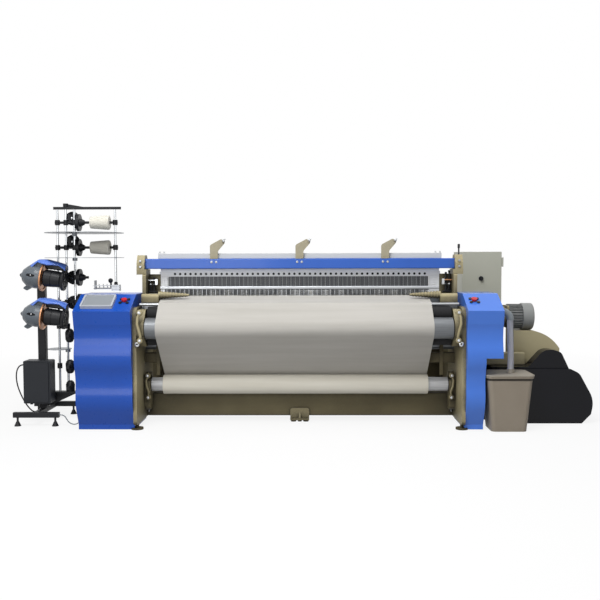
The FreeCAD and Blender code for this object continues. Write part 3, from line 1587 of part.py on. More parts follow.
def suction_hose():
    """The elbow at the right cover and the clear hose from it to the bin's lid."""
    face = (outer + s.right_cover_wide).mm
    bend = s.hose_bend.mm
    radius = s.hose_radius.mm
    top = s.hose_top_z.mm
    y = s.bin_y.mm
    size = radius + s.fitting_wall.mm
    run = face + s.elbow_out.mm
    corner = Vector(run, y, top + bend)
    drop = Vector(run + bend, y, top)
    middle = Vector(run + bend * math.sin(math.pi / 4), y,
                    top + bend * math.sin(math.pi / 4))
    path = Part.Wire([Part.LineSegment(Vector(face, y, top + bend), corner).toShape(),
                      Part.Arc(corner, middle, drop).toShape()])
    ring = Part.Wire(Part.Circle(Vector(face, y, top + bend), X_AXIS, size).toShape())
    elbow = path.makePipeShell([ring], True, False)
    feature("hose_elbow", elbow)
    low = s.bin_high.mm + s.lid_thick.mm + s.fitting_high.mm
    x = drop.x
    end = hose_end_x()
    route = [(x, y, top), (x, y, top - s.hose_drop.mm), (end, s.hose_y.mm, low + s.hose_rise.mm),
             (end, s.hose_y.mm, low)]
    feature("suction_hose", bent_tube(route, radius, radius - s.hose_wall.mm))


# ---------------------------------------------------------------------------------------
# Weft stand, feeders and creel
# ---------------------------------------------------------------------------------------
def weft_stand():
    """The welded stand: three floor bars, a column, the feeders' arms and the creel's shelf."""
    bar = (s.stand_bar_z, s.stand_bar_z + s.stand_bar)
    half = s.stand_bar / 2
    column = (column_x - s.column_wide / 2, column_x + s.column_wide / 2)
    deep = (s.column_y - s.column_wide / 2, s.column_y + s.column_wide / 2)
    bars = [
        profile("YZ", (stand_left_x, stand_right_x),
                rectangle((s.stand_front_y - half, s.stand_front_y + half), bar, 5)),
        profile("YZ", (stand_left_x, stand_right_x),
                rectangle((s.stand_rear_y - half, s.stand_rear_y + half), bar, 5)),
        profile("XZ", (s.stand_front_y, s.stand_rear_y),
                rectangle((column_x - half, column_x + half), bar, 5)),
        profile("XY", (bar[1] - 2, s.column_high_z), rectangle(column, deep, 6)),
    ]
    for x in (stand_left_x + 30, stand_right_x - 30):
        for y in (s.stand_front_y, s.stand_rear_y):
            bars.append(rod("z", (s.foot_cone_high - 2, bar[0] + 2), (x, y), 8))
            bars.append(taper("z", (0, s.foot_cone_high), (x, y), s.foot_cone_big,
                              s.foot_cone_small))
    shelf_x = (column[1] - 2, post_first_x + 2 * s.post_step + 40)
    bars.append(block(shelf_x, (s.creel_y - 30, s.creel_y + 30),
                      (s.creel_base_z - 14, s.creel_base_z)))
    bars.append(profile("XZ", (s.creel_y - 6, s.creel_y + 6), [
        (column[1] - 2, s.creel_base_z - 110), (column[1] + 20, s.creel_base_z - 110),
        (shelf_x[1] - 30, s.creel_base_z - 10), (column[1] - 2, s.creel_base_z - 10)]))
    node("weft_stand", fuse(*bars))


def control_box():
    """The control box on the front of the column."""
    back = s.column_y - s.column_wide / 2
    y = (back - s.control_deep, back)
    body = profile("XZ", y, rectangle((control_left_x, control_right_x),
                                      (s.control_low_z, s.control_top_z), 10))
    lip = profile("XZ", (y[0] - 8, y[0] + 2), rectangle(
        (control_left_x + 14, control_right_x - 14),
        (s.control_low_z + 14, s.control_top_z - 14), 8))
    glands = [rod("z", (s.control_low_z - 16, s.control_low_z + 2),
                  (control_left_x + 40 + 45 * step, y[0] + 60), 11) for step in range(3)]
    node("control_box", fuse(body, lip, *glands))


def on_feeder(item, z):
    """Place a piece made about a feeder's own centre."""
    return move(turned(item, Y_AXIS, s.feeder_lean), feeder_x, s.feeder_y, z)


def feeder_housing(z):
    """A feeder's egg-shaped motor housing with its cap, its front ring and its mounting pad."""
    back = s.flyer_at - 2
    nose = -s.feeder_nose
    big = s.feeder_body
    body = turning([
        (nose, 0), (nose, s.egg_tip, 5), (nose + s.egg_brow_at, s.egg_brow, 6),
        (nose + s.egg_cheek_at, s.egg_cheek, 14), (nose + s.egg_belly_at, s.egg_belly, s.egg_blend),
        (nose + s.egg_full_at, big, 40), (back, big - 6, 8),
        (back, s.feeder_shaft), (back - s.feeder_seat, s.feeder_shaft),
        (back - s.feeder_seat, 0)])
    end = s.flyer_at + s.flyer_thick + s.drum_long + s.feeder_ring + 14
    ring_at = end - s.feeder_ring
    high = s.flyer_radius + 6
    drum = s.feeder_drum
    cap = profile("XZ", (-30, 30), [
        (nose + 62, big - 34), (back - 4, big - 10), (back - 2, high, 8),
        (ring_at, high - 10, 10), (ring_at, drum + 4, 8), (end, drum + 4, 4),
        (end, high + 4, 14), (back + 40, high + s.feeder_spine, 40),
        (back - 34, high + s.feeder_spine - 6, 40), (nose + 58, big - 20, 10)])
    ring = tube("x", (ring_at - 2, end - 2), (0, 0), drum + 12, drum - 8)
    lever = profile("XZ", (-9, 9), [
        (nose + 62, -big + 26), (nose + 104, -big + 10), (nose + 60, -big - 22, 8),
        (nose + 26, -big - 8, 8)])
    reach = s.column_y - s.column_wide / 2 - s.feeder_y
    pad = block((back - 66, back - 34), (big - 22, reach), (-14, 14))
    return on_feeder(fuse(body, cap, ring, lever, pad), z)


def feeder_drum(z):
    """The fixed yarn drum with its groove, and its shaft that stands in the housing."""
    start = s.flyer_at + s.flyer_thick + 0.5
    seat = s.flyer_at - 2 - s.feeder_seat
    long = s.drum_long
    drum = s.feeder_drum
    groove = (start + long * 0.45, start + long * 0.52)
    return on_feeder(turning([
        (seat, 0), (seat, s.feeder_shaft), (start, s.feeder_shaft), (start, drum - 10),
        (start + 10, drum, 3), (groove[0], drum - 2),
        (groove[0], drum - 6), (groove[1], drum - 6), (groove[1], drum - 2),
        (start + long, drum - 8, 6), (start + long, 0)]), z)


def flyer(label, z):
    """The turning ring that lays the yarn on a feeder's drum."""
    at, thick = s.flyer_at, s.flyer_thick
    reach = s.flyer_radius
    bore = s.feeder_shaft + s.fit_gap
    ring = turning([
        (at, bore), (at + thick, bore), (at + thick, 34), (at + 5, 38), (at + 5, reach - 16),
        (at + thick, reach - 12), (at + thick, reach, 3), (at, reach, 3)])
    node(label, on_feeder(ring, z))


def feeders():
    heights = (s.upper_feeder_z, s.lower_feeder_z)
    group("feeder_housings", [feeder_housing(z) for z in heights])
    group("feeder_drums", [feeder_drum(z) for z in heights])
    flyer("upper_flyer", s.upper_feeder_z)
    flyer("lower_flyer", s.lower_feeder_z)


def post_places():
    return [post_first_x + s.post_step * index for index in range(3)]


def creel_frame():
    """The three standing posts, and the post that hangs at the right."""
    y = s.creel_y
    posts = [rod("z", (s.creel_base_z, s.creel_top_z), (x, y), s.post_radius)
             for x in post_places()]
    posts.append(rod("z", (s.right_post_low_z, s.creel_top_z), (right_post_x, y),
                     s.post_radius))
    group("creel_frame", posts)


def creel_trays():
    """The round trays, each with a hub on the last standing post."""
    x = post_places()
    trays = []
    sizes = [(s.low_tray_z, x[0], s.low_tray_radius, x[1]),
             (s.mid_tray_z, tray_x, s.tray_radius, x[-1]),
             (s.top_tray_z, tray_x, s.tray_radius, x[-1])]
    for z, middle, radius, hub_x in sizes:
        disc = rod("z", (z, z + s.tray_thick), (middle, s.creel_y), radius)
        hub = rod("z", (z - 22, z + 1), (hub_x, s.creel_y), s.clamp_radius)
        trays.append(cut(fuse(disc, hub), *post_bores(z - 30, z + 30)))
    group("creel_trays", trays)


def post_bores(low, top):
    """The bores that the four posts make in whatever is clamped to them."""
    return [rod("z", (low, top), (x, s.creel_y), s.post_radius)
            for x in post_places() + [right_post_x]]


def holder_heights():
    step = s.upper_cone_z - s.lower_cone_z
    low = s.lower_cone_z - step * 1.2
    return [s.upper_cone_z, s.lower_cone_z, low, low - step]


def package_holder(z, reaches_across):
    """A spindle through clamps on the posts, with the disc that a yarn package sits against."""
    x = post_places()
    start = x[-1] + s.post_radius
    disc = (start + 14, start + 14 + s.holder_thick)
    end = right_post_x + s.clamp_radius if reaches_across else disc[1] + 60
    middle = (s.creel_y, z)
    clamp = (z - s.clamp_high / 2, z + s.clamp_high / 2)
    places = x + [right_post_x] if reaches_across else x
    clamps = [rod("z", clamp, (place, s.creel_y), s.clamp_radius) for place in places]
    solid = fuse(rod("x", (x[0] - s.clamp_radius, end), middle, s.spindle_radius),
                 rod("x", disc, middle, s.holder_radius),
                 taper("x", (disc[1], disc[1] + 34), middle, 34, 18), *clamps)
    return cut(solid, *post_bores(clamp[0] - 1, clamp[1] + 1))


def top_arm():
    """The arm on the posts' tops that the right post hangs from, with its gusset and hub."""
    y = s.creel_y
    top = (s.creel_top_z, s.creel_top_z + 20)
    hub = post_first_x + s.post_step
    arm = profile("XY", top, rectangle(
        (post_first_x - 30, right_post_x + 46), (y - 12, y + 12), 8))
    gusset = profile("XZ", (y - 5, y + 5), [
        (hub, top[1] - 2), (hub + 150, top[1] - 2), (hub + 60, top[1] + 14, 20),
        (hub, top[1] + 24)])
    return fuse(arm, gusset, rod("z", (top[1] - 1, top[1] + 26), (hub, y), 20))


def low_clamp(x, z):
    """A clamp with its wing screw, low on a post."""
    y = s.creel_y
    ring = rod("z", (z, z + s.clamp_high), (x, y), s.clamp_radius)
    screw = rod("y", (y - 2 * s.clamp_radius, y), (x, z + s.clamp_high / 2), 9)
    return cut(fuse(ring, screw), *post_bores(z - 1, z + s.clamp_high + 1))


def package_holders():
    """The package spindles, the top arm and the clamps that are left free on the posts."""
    holders = [package_holder(z, index < 2) for index, z in enumerate(holder_heights())]
    low = s.low_tray_z
    clamps = [low_clamp(x, low + rise) for x in post_places() for rise in (160, -150)]
    group("package_holders", holders + [top_arm()] + clamps)


def yarn_cones():
    """The yarn packages on the two upper spindles, the large end to the right."""
    x = (cone_end_x - s.cone_long, cone_end_x)
    cones = []
    for z in (s.upper_cone_z, s.lower_cone_z):
        middle = (s.creel_y, z)
        cones.append(cut(taper("x", x, middle, s.cone_small, s.cone_big),
                         rod("x", x, middle, s.spindle_radius)))
    group("yarn_cones", cones)


def weft_tensioner():
    """The tension block at the foot of the right post, with its plate and guide rods."""
    x, y, low = right_post_x, s.creel_y, s.right_post_low_z
    body = block((x - 30, x + 32), (y - 26, y + 26), (low - 48, low))
    plate = block((x - 176, x - 20), (y - 24, y + 24), (low - 10, low - 5))
    rods = [rod("x", (x - 170, x - 20), (y + shift, low - 28), 5) for shift in (-14, 14)]
    eyes = [rod("z", (low - 36, low + 34), (x - 160, y + shift), 6) for shift in (-14, 14)]
    node("weft_tensioner", fuse(body, plate, *rods, *eyes))


# Routes of the two cables, point by point from one end to the other.
BOX_CABLE = [(-2105, -70, 452), (-2132, -70, 452), (-2157, -71, 440), (-2172, -73, 413),
             (-2178, -75, 378), (-2177, -77, 340), (-2170, -79, 300), (-2158, -80, 260),
             (-2142, -80, 220), (-2124, -79, 182), (-2104, -77, 146), (-2080, -74, 113),
             (-2051, -72, 86), (-2019, -72, 86)]
LINK_CABLE = [(-1819, -184, 85), (-1796, -184, 85), (-1775, -183, 73), (-1762, -181, 50),
              (-1748, -178, 27), (-1725, -174, 12), (-1699, -169, 9), (-1675, -165, 21),
              (-1655, -163, 40), (-1630, -163, 40)]
BOX_CABLE_RADIUS = 5.0
LINK_CABLE_RADIUS = 4.0


def cables():
    feature("control_box_cable", bent_tube(BOX_CABLE, BOX_CABLE_RADIUS))
    feature("link_cable", bent_tube(LINK_CABLE, LINK_CABLE_RADIUS))


# ---------------------------------------------------------------------------------------
# The whole loom
# ---------------------------------------------------------------------------------------
def build():
    side_frame(LEFT, "left_side_frame")
    side_frame(RIGHT, "right_side_frame")
    levelling_feet()
    middle_foot()
    cross_beams()
    breast_beam()
    roller_brackets()
    cloth_roll_brackets()
    top_beam()
    top_beam_brackets()
    hanger_arms()
    rollers()
    warp_beam()
    fabric()
    warp_sheet()
    sley()
    reed()
    heald_frame("heald_frame_1", s.heald_y, True)
    heald_frame("heald_frame_2", s.heald_y + s.heald_step, False)
    warp_stop_motion()
    front_covers()
    stop_button("left_stop_button", left_button_x)
    stop_button("right_stop_button", right_button_x)
    touch_screen()
    gear_housings()
    temples()
    electrical_cabinet()
    cabinet_door()
    main_switch()
    side_brackets()
    drive_motor()
    drive_covers()
    waste_bin()
    suction_hose()
    weft_stand()
    control_box()
    feeders()
    creel_frame()
    creel_trays()
    package_holders()
    yarn_cones()
    weft_tensioner()
    cables()


def check_model():
    """Stop if any object failed, or a sub-part has no sound solid."""
    for item in doc.Objects:
        if {"Invalid", "Error"} & set(item.State):
            raise RuntimeError(f"{item.Label} ({item.Name}) failed: {item.State}")
    for item in NODES:
        if item.Shape.isNull() or not item.Shape.isValid() or not item.Shape.Solids:
            raise RuntimeError(f"{item.Label} has no valid solid")


def write_steps():
    os.makedirs("parts", exist_ok=True)
    for item in NODES:
        item.Shape.exportStep(f"parts/{item.Label}.step")
    print(f"{len(NODES)} sub-parts written")


build()
doc.recompute()
check_model()
write_steps()
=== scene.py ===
"""The looks of a power loom with its weft stand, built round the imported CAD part.

Sizes are in metres in the part's own frame: X to the right as the weaver faces the
cloth, Y towards the warp beam, Z up, and the origin under the middle foot.
"""

from __future__ import annotations

import logging
import math
import random
from dataclasses import dataclass, field
from enum import Enum
from typing import Sequence
import bmesh
import bpy
from mathutils import Matrix, Vector


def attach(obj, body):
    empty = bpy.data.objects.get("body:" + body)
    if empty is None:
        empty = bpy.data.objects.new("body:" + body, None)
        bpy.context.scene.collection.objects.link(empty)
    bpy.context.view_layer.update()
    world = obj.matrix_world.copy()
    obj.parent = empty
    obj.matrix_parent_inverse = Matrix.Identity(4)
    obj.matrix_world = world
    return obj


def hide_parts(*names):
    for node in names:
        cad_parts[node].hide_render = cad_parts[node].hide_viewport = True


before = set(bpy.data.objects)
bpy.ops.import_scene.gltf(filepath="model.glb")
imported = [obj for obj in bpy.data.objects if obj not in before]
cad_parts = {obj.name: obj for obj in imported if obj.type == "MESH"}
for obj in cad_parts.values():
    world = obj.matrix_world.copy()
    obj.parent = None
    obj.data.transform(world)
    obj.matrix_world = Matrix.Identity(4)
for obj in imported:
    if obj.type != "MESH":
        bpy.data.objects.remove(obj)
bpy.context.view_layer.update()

log = logging.getLogger("loom")
Point = Sequence[float]
Outline = Sequence[tuple[float, float]]
Socket = bpy.types.NodeSocket


# ---------------------------------------------------------------------------------------
# Materials
# ---------------------------------------------------------------------------------------
class Grain(Enum):
    """The small relief that a finish carries: its size, how many finer layers, its depth."""

    ORANGE_PEEL = (0.006, 2, 0.00008)
    SAND_CAST = (0.003, 5, 0.0005)
    MOULDED = (0.0012, 2, 0.00006)
    SMOOTH = (0.0, 0, 0.0)


def linear(code: str) -> tuple[float, float, float, float]:
    """Turn a hex colour into linear light.

    Args:
        code: Six hex digits after a hash, as seen on a screen.

    Returns:
        Red, green, blue and alpha.
    """
    parts = [int(code[i:i + 2], 16) / 255 for i in (1, 3, 5)]
    return (*[c / 12.92 if c < 0.04045 else ((c + 0.055) / 1.055) ** 2.4 for c in parts], 1.0)


def grey(level: float) -> tuple[float, float, float, float]:
    """A grey in linear light."""
    return (level, level, level, 1)


class Shader:
    """One material's node tree, with short ways to make its usual nodes."""

    def __init__(self, name: str) -> None:
        """Start a material with a plain principled surface."""
        self.material = bpy.data.materials.new(name)
        self.material.use_nodes = True
        self.tree = self.material.node_tree
        self.surface = self.tree.nodes["Principled BSDF"]
        self.place = self.tree.nodes.new("ShaderNodeTexCoord").outputs["Object"]

    def node(self, kind: str, **settings: object) -> bpy.types.Node:
        """Add a node and set its own options.

        Args:
            kind: The node type's name without its prefix.
            **settings: Attributes of the node.

        Returns:
            The node.
        """
        item = self.tree.nodes.new("ShaderNode" + kind)
        for key, value in settings.items():
            setattr(item, key, value)
        return item

    def feed(self, socket: Socket, value: object) -> None:
        """Link a socket to another, or set its constant."""
        if isinstance(value, bpy.types.NodeSocket):
            self.tree.links.new(value, socket)
        else:
            socket.default_value = value

    def math(self, operation: str, *values: object, clamp: bool = False) -> Socket:
        """Join numbers by one operation."""
        item = self.node("Math", operation=operation, use_clamp=clamp)
        for socket, value in zip(item.inputs, values):
            self.feed(socket, value)
        return item.outputs[0]

    def stretched(self, scale: Point) -> Socket:
        """The place on the object, stretched along each axis."""
        item = self.node("Mapping")
        self.feed(item.inputs["Vector"], self.place)
        item.inputs["Scale"].default_value = scale
        return item.outputs[0]

    def noise(self, size: float, detail: float = 3.0, stretch: Point = (1, 1, 1)) -> Socket:
        """Cloudy noise.

        Args:
            size: How far apart its patches are, in metres.
            detail: How many finer layers it has.
            stretch: How much denser it is along each axis.

        Returns:
            A number from 0 to 1.
        """
        item = self.node("TexNoise")
        self.feed(item.inputs["Vector"], self.stretched(stretch))
        item.inputs["Scale"].default_value = 1 / size
        item.inputs["Detail"].default_value = detail
        return item.outputs["Fac"]

    def wave(self, size: float, axis: str, bend: float = 0.0) -> Socket:
        """Even bands across one axis, one every size metres."""
        item = self.node("TexWave", bands_direction=axis)
        self.feed(item.inputs["Vector"], self.place)
        item.inputs["Scale"].default_value = math.pi / (10 * size)
        item.inputs["Distortion"].default_value = bend
        item.inputs["Detail Scale"].default_value = 1.5
        return item.outputs["Fac"]

    def ramp(self, factor: Socket, low: float, high: float) -> Socket:
        """Spread a factor between two limits over 0 to 1."""
        item = self.node("MapRange", clamp=True)
        self.feed(item.inputs["Value"], factor)
        item.inputs["From Min"].default_value = low
        item.inputs["From Max"].default_value = high
        return item.outputs[0]

    def mix(self, factor: object, first: object, second: object) -> Socket:
        """Blend two colours."""
        item = self.node("Mix", data_type="RGBA")
        self.feed(item.inputs[0], factor)
        self.feed(item.inputs[6], first)
        self.feed(item.inputs[7], second)
        return item.outputs[2]

    def beyond(self, normal: Point, origin: Point, soft: float = 0.0004) -> Socket:
        """1 on the side of a plane that its normal points to."""
        item = self.node("VectorMath", operation="DOT_PRODUCT")
        self.feed(item.inputs[0], self.place)
        item.inputs[1].default_value = normal
        edge = Vector(normal).dot(Vector(origin))
        return self.ramp(item.outputs["Value"], edge - soft, edge + soft)

    def inside(self, *sides: tuple[Point, Point]) -> Socket:
        """1 where every plane has the point beyond it."""
        result = self.beyond(*sides[0])
        for side in sides[1:]:
            result = self.math("MULTIPLY", result, self.beyond(*side))
        return result

    def crevice(self, reach: float) -> Socket:
        """1 in corners and hollows, 0 on open faces; used for dirt, and with a long reach for
        painted shade.
        """
        item = self.node("AmbientOcclusion", samples=4)
        item.inputs["Distance"].default_value = reach
        return self.ramp(item.outputs["AO"], 0.95, 0.35)

    def relief(self, height: Socket, depth: float, after: Socket | None = None) -> Socket:
        """Tilt the surface by a height map of that depth in metres."""
        item = self.node("Bump")
        item.inputs["Distance"].default_value = depth
        self.feed(item.inputs["Height"], height)
        if after is not None:
            self.feed(item.inputs["Normal"], after)
        self.feed(self.surface.inputs["Normal"], item.outputs[0])
        return item.outputs[0]

    def set(self, **values: object) -> None:
        """Set or link sockets of the surface by name, with _ for a space."""
        for key, value in values.items():
            self.feed(self.surface.inputs[key.replace("_", " ")], value)


DIRT_TONE = "#2B2618"
# Tone of the painted shade laid in deep hollows.
PAINTED_SHADE_TONE = "#1C1910"
_made: dict[str, bpy.types.Material] = {}


@dataclass(frozen=True)
class Finish:
    """A finish by its name and its two tones; each kind draws itself in paint()."""

    name: str
    tone: str
    shade: str
    roughness: float = 0.4

    def paint(self, shader: Shader) -> None:
        """Fill the shader with this finish."""
        raise NotImplementedError

    def material(self) -> bpy.types.Material:
        """The finish's one material, made at first use."""
        if self.name not in _made:
            shader = Shader(self.name)
            self.paint(shader)
            _made[self.name] = shader.material
        return _made[self.name]


@dataclass(frozen=True)
class Patch:
    """A second colour on one part of a piece, bounded by planes."""

    tone: str
    sides: tuple[tuple[Point, Point], ...]


@dataclass(frozen=True)
class Paint(Finish):
    """Paint or plastic: cloudy tone, fine relief, dirt in its corners, painted shade in its deep
    hollows, other patches.
    """

    grain: Grain = Grain.ORANGE_PEEL
    coat: float = 0.0
    cloud: float = 0.35
    dirt: float = 0.0
    # How much painted shade darkens the deep hollows.
    painted_shade: float = 0.0
    shine: float = 0.25
    patches: tuple[Patch, ...] = ()

    def paint(self, shader: Shader) -> None:
        """Fill the shader with this finish."""
        tone = shader.mix(
            shader.math("MULTIPLY", shader.ramp(shader.noise(0.35, 4), 0.35, 0.7), self.cloud),
            linear(self.tone), linear(self.shade))
        if self.dirt:
            spots = shader.math("MULTIPLY", shader.crevice(0.05), self.dirt)
            spots = shader.math("MULTIPLY", spots, shader.ramp(shader.noise(0.03, 5), 0.2, 0.7))
            tone = shader.mix(spots, tone, linear(DIRT_TONE))
        # Painted shade: deep hollows darkened where shade falls on them.
        if self.painted_shade:
            deep = shader.math("MULTIPLY", shader.crevice(0.32), self.painted_shade)
            tone = shader.mix(deep, tone, linear(PAINTED_SHADE_TONE))
        for patch in self.patches:
            tone = shader.mix(shader.inside(*patch.sides), tone, linear(patch.tone))
        fine = shader.noise(0.02, 3)
        rough = shader.math("ADD", shader.math("MULTIPLY", fine, 0.16), self.roughness - 0.08)
        shader.set(Base_Color=tone, Roughness=rough, Specular_IOR_Level=self.shine,
                   Coat_Weight=self.coat, Coat_Roughness=0.1)
        if self.grain is not Grain.SMOOTH:
            size, layers, depth = self.grain.value
            shader.relief(shader.noise(size, layers), depth)


@dataclass(frozen=True)
class Metal(Finish):
    """Bare metal with fine lines along one axis."""

    lines: Point = (0.02, 1.0, 1.0)
    metallic: float = 1.0

    def paint(self, shader: Shader) -> None:
        """Fill the shader with this finish."""
        streak = shader.noise(0.004, 4, self.lines)
        tone = shader.mix(shader.ramp(streak, 0.3, 0.75), linear(self.tone), linear(self.shade))
        rough = shader.math("ADD", shader.math("MULTIPLY", streak, 0.18), self.roughness - 0.09)
        shader.set(Base_Color=tone, Roughness=rough, Metallic=self.metallic)
        shader.relief(streak, 0.00006)


@dataclass(frozen=True)
class Woven(Finish):
    """Plain-weave cloth: warp and weft bands, slubs and a little sheen."""

    pitch: float = 0.0011

    def paint(self, shader: Shader) -> None:
        """Fill the shader with this finish."""
        across = shader.wave(self.pitch, "X", 0.3)
        along = shader.math("MAXIMUM", shader.wave(self.pitch, "Z", 0.3),
                            shader.wave(self.pitch * 1.02, "Y", 0.3))
        weave = shader.math("MULTIPLY", across, along)
        slub = shader.noise(0.05, 5, (0.06, 1.0, 1.0))
        tone = shader.mix(shader.ramp(slub, 0.3, 0.75), linear(self.tone), linear(self.shade))
        tone = shader.mix(shader.math("MULTIPLY", weave, 0.18), tone, linear(self.shade))
        shader.set(Base_Color=tone, Roughness=0.88, Sheen_Weight=0.25, Sheen_Roughness=0.5)
        shader.relief(shader.noise(0.25, 2, (0.5, 1, 1)), 0.002, shader.relief(weave, 0.0003))


@dataclass(frozen=True)
class Wound(Finish):
    """Yarn wound round a package or a beam: fine turns across one axis."""

    pitch: float = 0.0016
    axis: str = "X"
    bend: float = 0.0

    def paint(self, shader: Shader) -> None:
        """Fill the shader with this finish."""
        turns = shader.wave(self.pitch, self.axis, self.bend)
        loose = shader.noise(0.02, 4)
        tone = shader.mix(shader.ramp(turns, 0.1, 0.9), linear(self.shade), linear(self.tone))
        tone = shader.mix(shader.math("MULTIPLY", loose, 0.3), tone, linear(self.shade))
        shader.set(Base_Color=tone, Roughness=0.85, Sheen_Weight=0.3, Sheen_Roughness=0.5)
        shader.relief(turns, 0.0006)


@dataclass(frozen=True)
class Clear(Finish):
    """Milky see-through plastic with faint rings."""

    def paint(self, shader: Shader) -> None:
        """Fill the shader with this finish."""
        cloud = shader.noise(0.05, 3, (1, 1, 0.3))
        tone = shader.mix(shader.ramp(cloud, 0.3, 0.7), linear(self.tone), linear(self.shade))
        shader.set(Base_Color=tone, Roughness=self.roughness, Transmission_Weight=0.35,
                   IOR=1.35, Alpha=0.82)
        shader.relief(shader.wave(0.006, "Z"), 0.0004)


COVER_FRONT, COVER_EDGE = -0.45, 0.885
SLOPE = Vector((0, 0.240, 0.115)).normalized()
SLOPE_UP = Vector((0, -SLOPE.z, SLOPE.y))
SLOPE_FOOT = Vector((0, COVER_FRONT, COVER_EDGE))


def on_slope(x: float, up: float, lift: float) -> Vector:
    """A point by its way up the covers' slope and its height square to the slope."""
    return Vector((x, 0, 0)) + SLOPE_FOOT + SLOPE * up + SLOPE_UP * lift


KEYS = Patch("#17181A", ((tuple(SLOPE_UP), tuple(on_slope(0, 0, 0.0006))),))
SCREEN = Patch("#8F9499", (
    (tuple(SLOPE_UP), tuple(on_slope(0, 0, 0.0172))),
    (tuple(-SLOPE_UP), tuple(on_slope(0, 0, 0.0190))),
    ((1, 0, 0), (-1.5718, 0, 0)), ((-1, 0, 0), (-1.3642, 0, 0)),
    (tuple(SLOPE), tuple(on_slope(0, 0.0535, 0))), (tuple(-SLOPE), tuple(on_slope(0, 0.2025, 0))),
))

COVER_BLUE = Paint("cover_blue", "#184FB2", "#1546A0", 0.3, coat=0.2, patches=(KEYS,))
# The right cover's blue, made lighter and glossier than the left's: painted light where more
# light falls on it.
COVER_BLUE_PAINTED_LIGHT = Paint("cover_blue_painted_light", "#447BDE", "#3C6CCB", 0.22, coat=0.4,
                       patches=(KEYS,))
BEAM_BLUE = Paint("beam_blue", "#3563BE", "#2E58AF", 0.34, coat=0.2, dirt=0.4)
CAP_BLUE = Paint("feeder_blue", "#5F84DC", "#4A6CC4", 0.38, Grain.MOULDED, coat=0.2)
# Castings: dirt in small corners, and painted shade in deep hollows.
CASTING = Paint("casting_beige", "#B7AC88", "#958A69", 0.5, Grain.SAND_CAST, cloud=0.8,
                dirt=1.0, painted_shade=0.85)
# The casting finish darkened for low parts that stand in shade (beams, feet, plates): painted
# shade.
PAINTED_SHADE_CASTING = Paint("casting_painted_shade", "#857B5C", "#6B6248", 0.55, Grain.SAND_CAST, cloud=0.8,
                    dirt=1.0, painted_shade=0.8)
SHEET_BEIGE = Paint("sheet_beige", "#B5AB89", "#A39A79", 0.45, cloud=0.4, dirt=0.5)
DUCT = Patch("#C9CBCB", (((0, 1, 0), (0, 0.1045, 0)),))
ARM_BEIGE = Paint("arm_beige", "#A8A18B", "#938C76", 0.5, cloud=0.5, dirt=0.4, patches=(DUCT,))
CABINET = Paint("cabinet_grey", "#B8B9AD", "#ABACA0", 0.48, cloud=0.3, dirt=0.2)
# Painted shadow: a dark band just under the bin's rim.
RIM_PAINTED_SHADOW = Patch("#38332C", (((0, 0, 1), (0, 0, 0.3755)), ((0, 0, -1), (0, 0, 0.3935))))
BIN_BROWN = Paint("bin_brown", "#9A9082", "#857B6D", 0.5, Grain.MOULDED, cloud=0.5, dirt=0.2,
                  patches=(RIM_PAINTED_SHADOW,))
SCREEN_GREY = Paint("screen_grey", "#B4B8BE", "#A8ACB3", 0.35, Grain.MOULDED,
                    patches=(SCREEN,))
LID_BROWN = Paint("lid_brown", "#A39C90", "#8F887B", 0.46, Grain.MOULDED, cloud=0.4)
GREY_PLASTIC = Paint("grey_plastic", "#8D9499", "#7B8288", 0.42, Grain.MOULDED, cloud=0.4)
FEEDER_GREY = Paint("feeder_grey", "#636A71", "#50575D", 0.4, Grain.MOULDED, cloud=0.4,
                    coat=0.15)
BLACK_PLASTIC = Paint("black_plastic", "#1B1C1F", "#121316", 0.42, Grain.MOULDED, cloud=0.6)
BLACK_GLOSS = Paint("black_gloss", "#0A0B13", "#05060A", 0.16, coat=0.12, cloud=0.5,
                    shine=0.16)
BLACK_ENAMEL = Paint("black_enamel", "#1E1F22", "#141518", 0.45, cloud=0.6, dirt=0.2)
BOX_GREY = Paint("box_grey", "#24272C", "#1B1D21", 0.46, cloud=0.5)
RUBBER = Paint("black_rubber", "#202021", "#161617", 0.75, Grain.SAND_CAST)
RED = Paint("red_plastic", "#C3202A", "#9E1820", 0.3, Grain.SMOOTH, coat=0.4)
MOTOR = Paint("motor_grey", "#949694", "#7F817F", 0.48, Grain.SAND_CAST, dirt=0.5)
ROLLER = Metal("roller_grey", "#75787B", "#5D6063", 0.42, (0.02, 1, 1), 0.55)
STEEL = Metal("steel", "#B4B6B8", "#8E9093", 0.34, metallic=0.75)
BRIGHT = Metal("bright_steel", "#D8DADC", "#B2B4B7", 0.26, metallic=0.7)
ALUMINIUM = Metal("aluminium", "#BEC0C3", "#9EA1A5", 0.38, metallic=0.65)
HEALD_STEEL = Metal("heald_steel", "#797B7E", "#3A3C3F", 0.5, (1, 1, 0.02), 0.3)
DENT_STEEL = Metal("dent_steel", "#4A4C4E", "#2E3032", 0.38, (1, 1, 0.02), 0.5)
TRAY = Metal("tray_grey", "#8B8F94", "#74787D", 0.36, (1, 1, 1), 0.7)
RAIL = Metal("rail_aluminium", "#F2F3F4", "#DFE0E2", 0.45, (0.02, 1, 1), 0.1)
CORE_STEEL = Metal("core_steel", "#CDCED0", "#A9ABAE", 0.42, (0.02, 1, 1), 0.2)
DARK_ALUMINIUM = Metal("dark_aluminium", "#7C7F83", "#65686C", 0.4, metallic=0.8)
CHROME = Metal("chrome", "#D2D4D6", "#B0B3B6", 0.18, (1, 1, 0.02))
COPPER = Metal("copper", "#D09A72", "#B57E58", 0.32, (1, 1, 1), 0.6)
CLOTH = Woven("greige_cloth", "#C0BDB7", "#B3B0A9")
ROLL_CLOTH = Woven("rolled_greige", "#F2EEE1", "#E4DFD0")
WARP = Wound("warp_yarn", "#DAD6C8", "#C2BDAC", pitch=0.0026)
CONE = Wound("cone_yarn", "#F2EFE4", "#E0DCCD", pitch=0.0022, bend=1.2)
HOSE = Clear("clear_hose", "#D9DAE2", "#C6C8D2", 0.3)

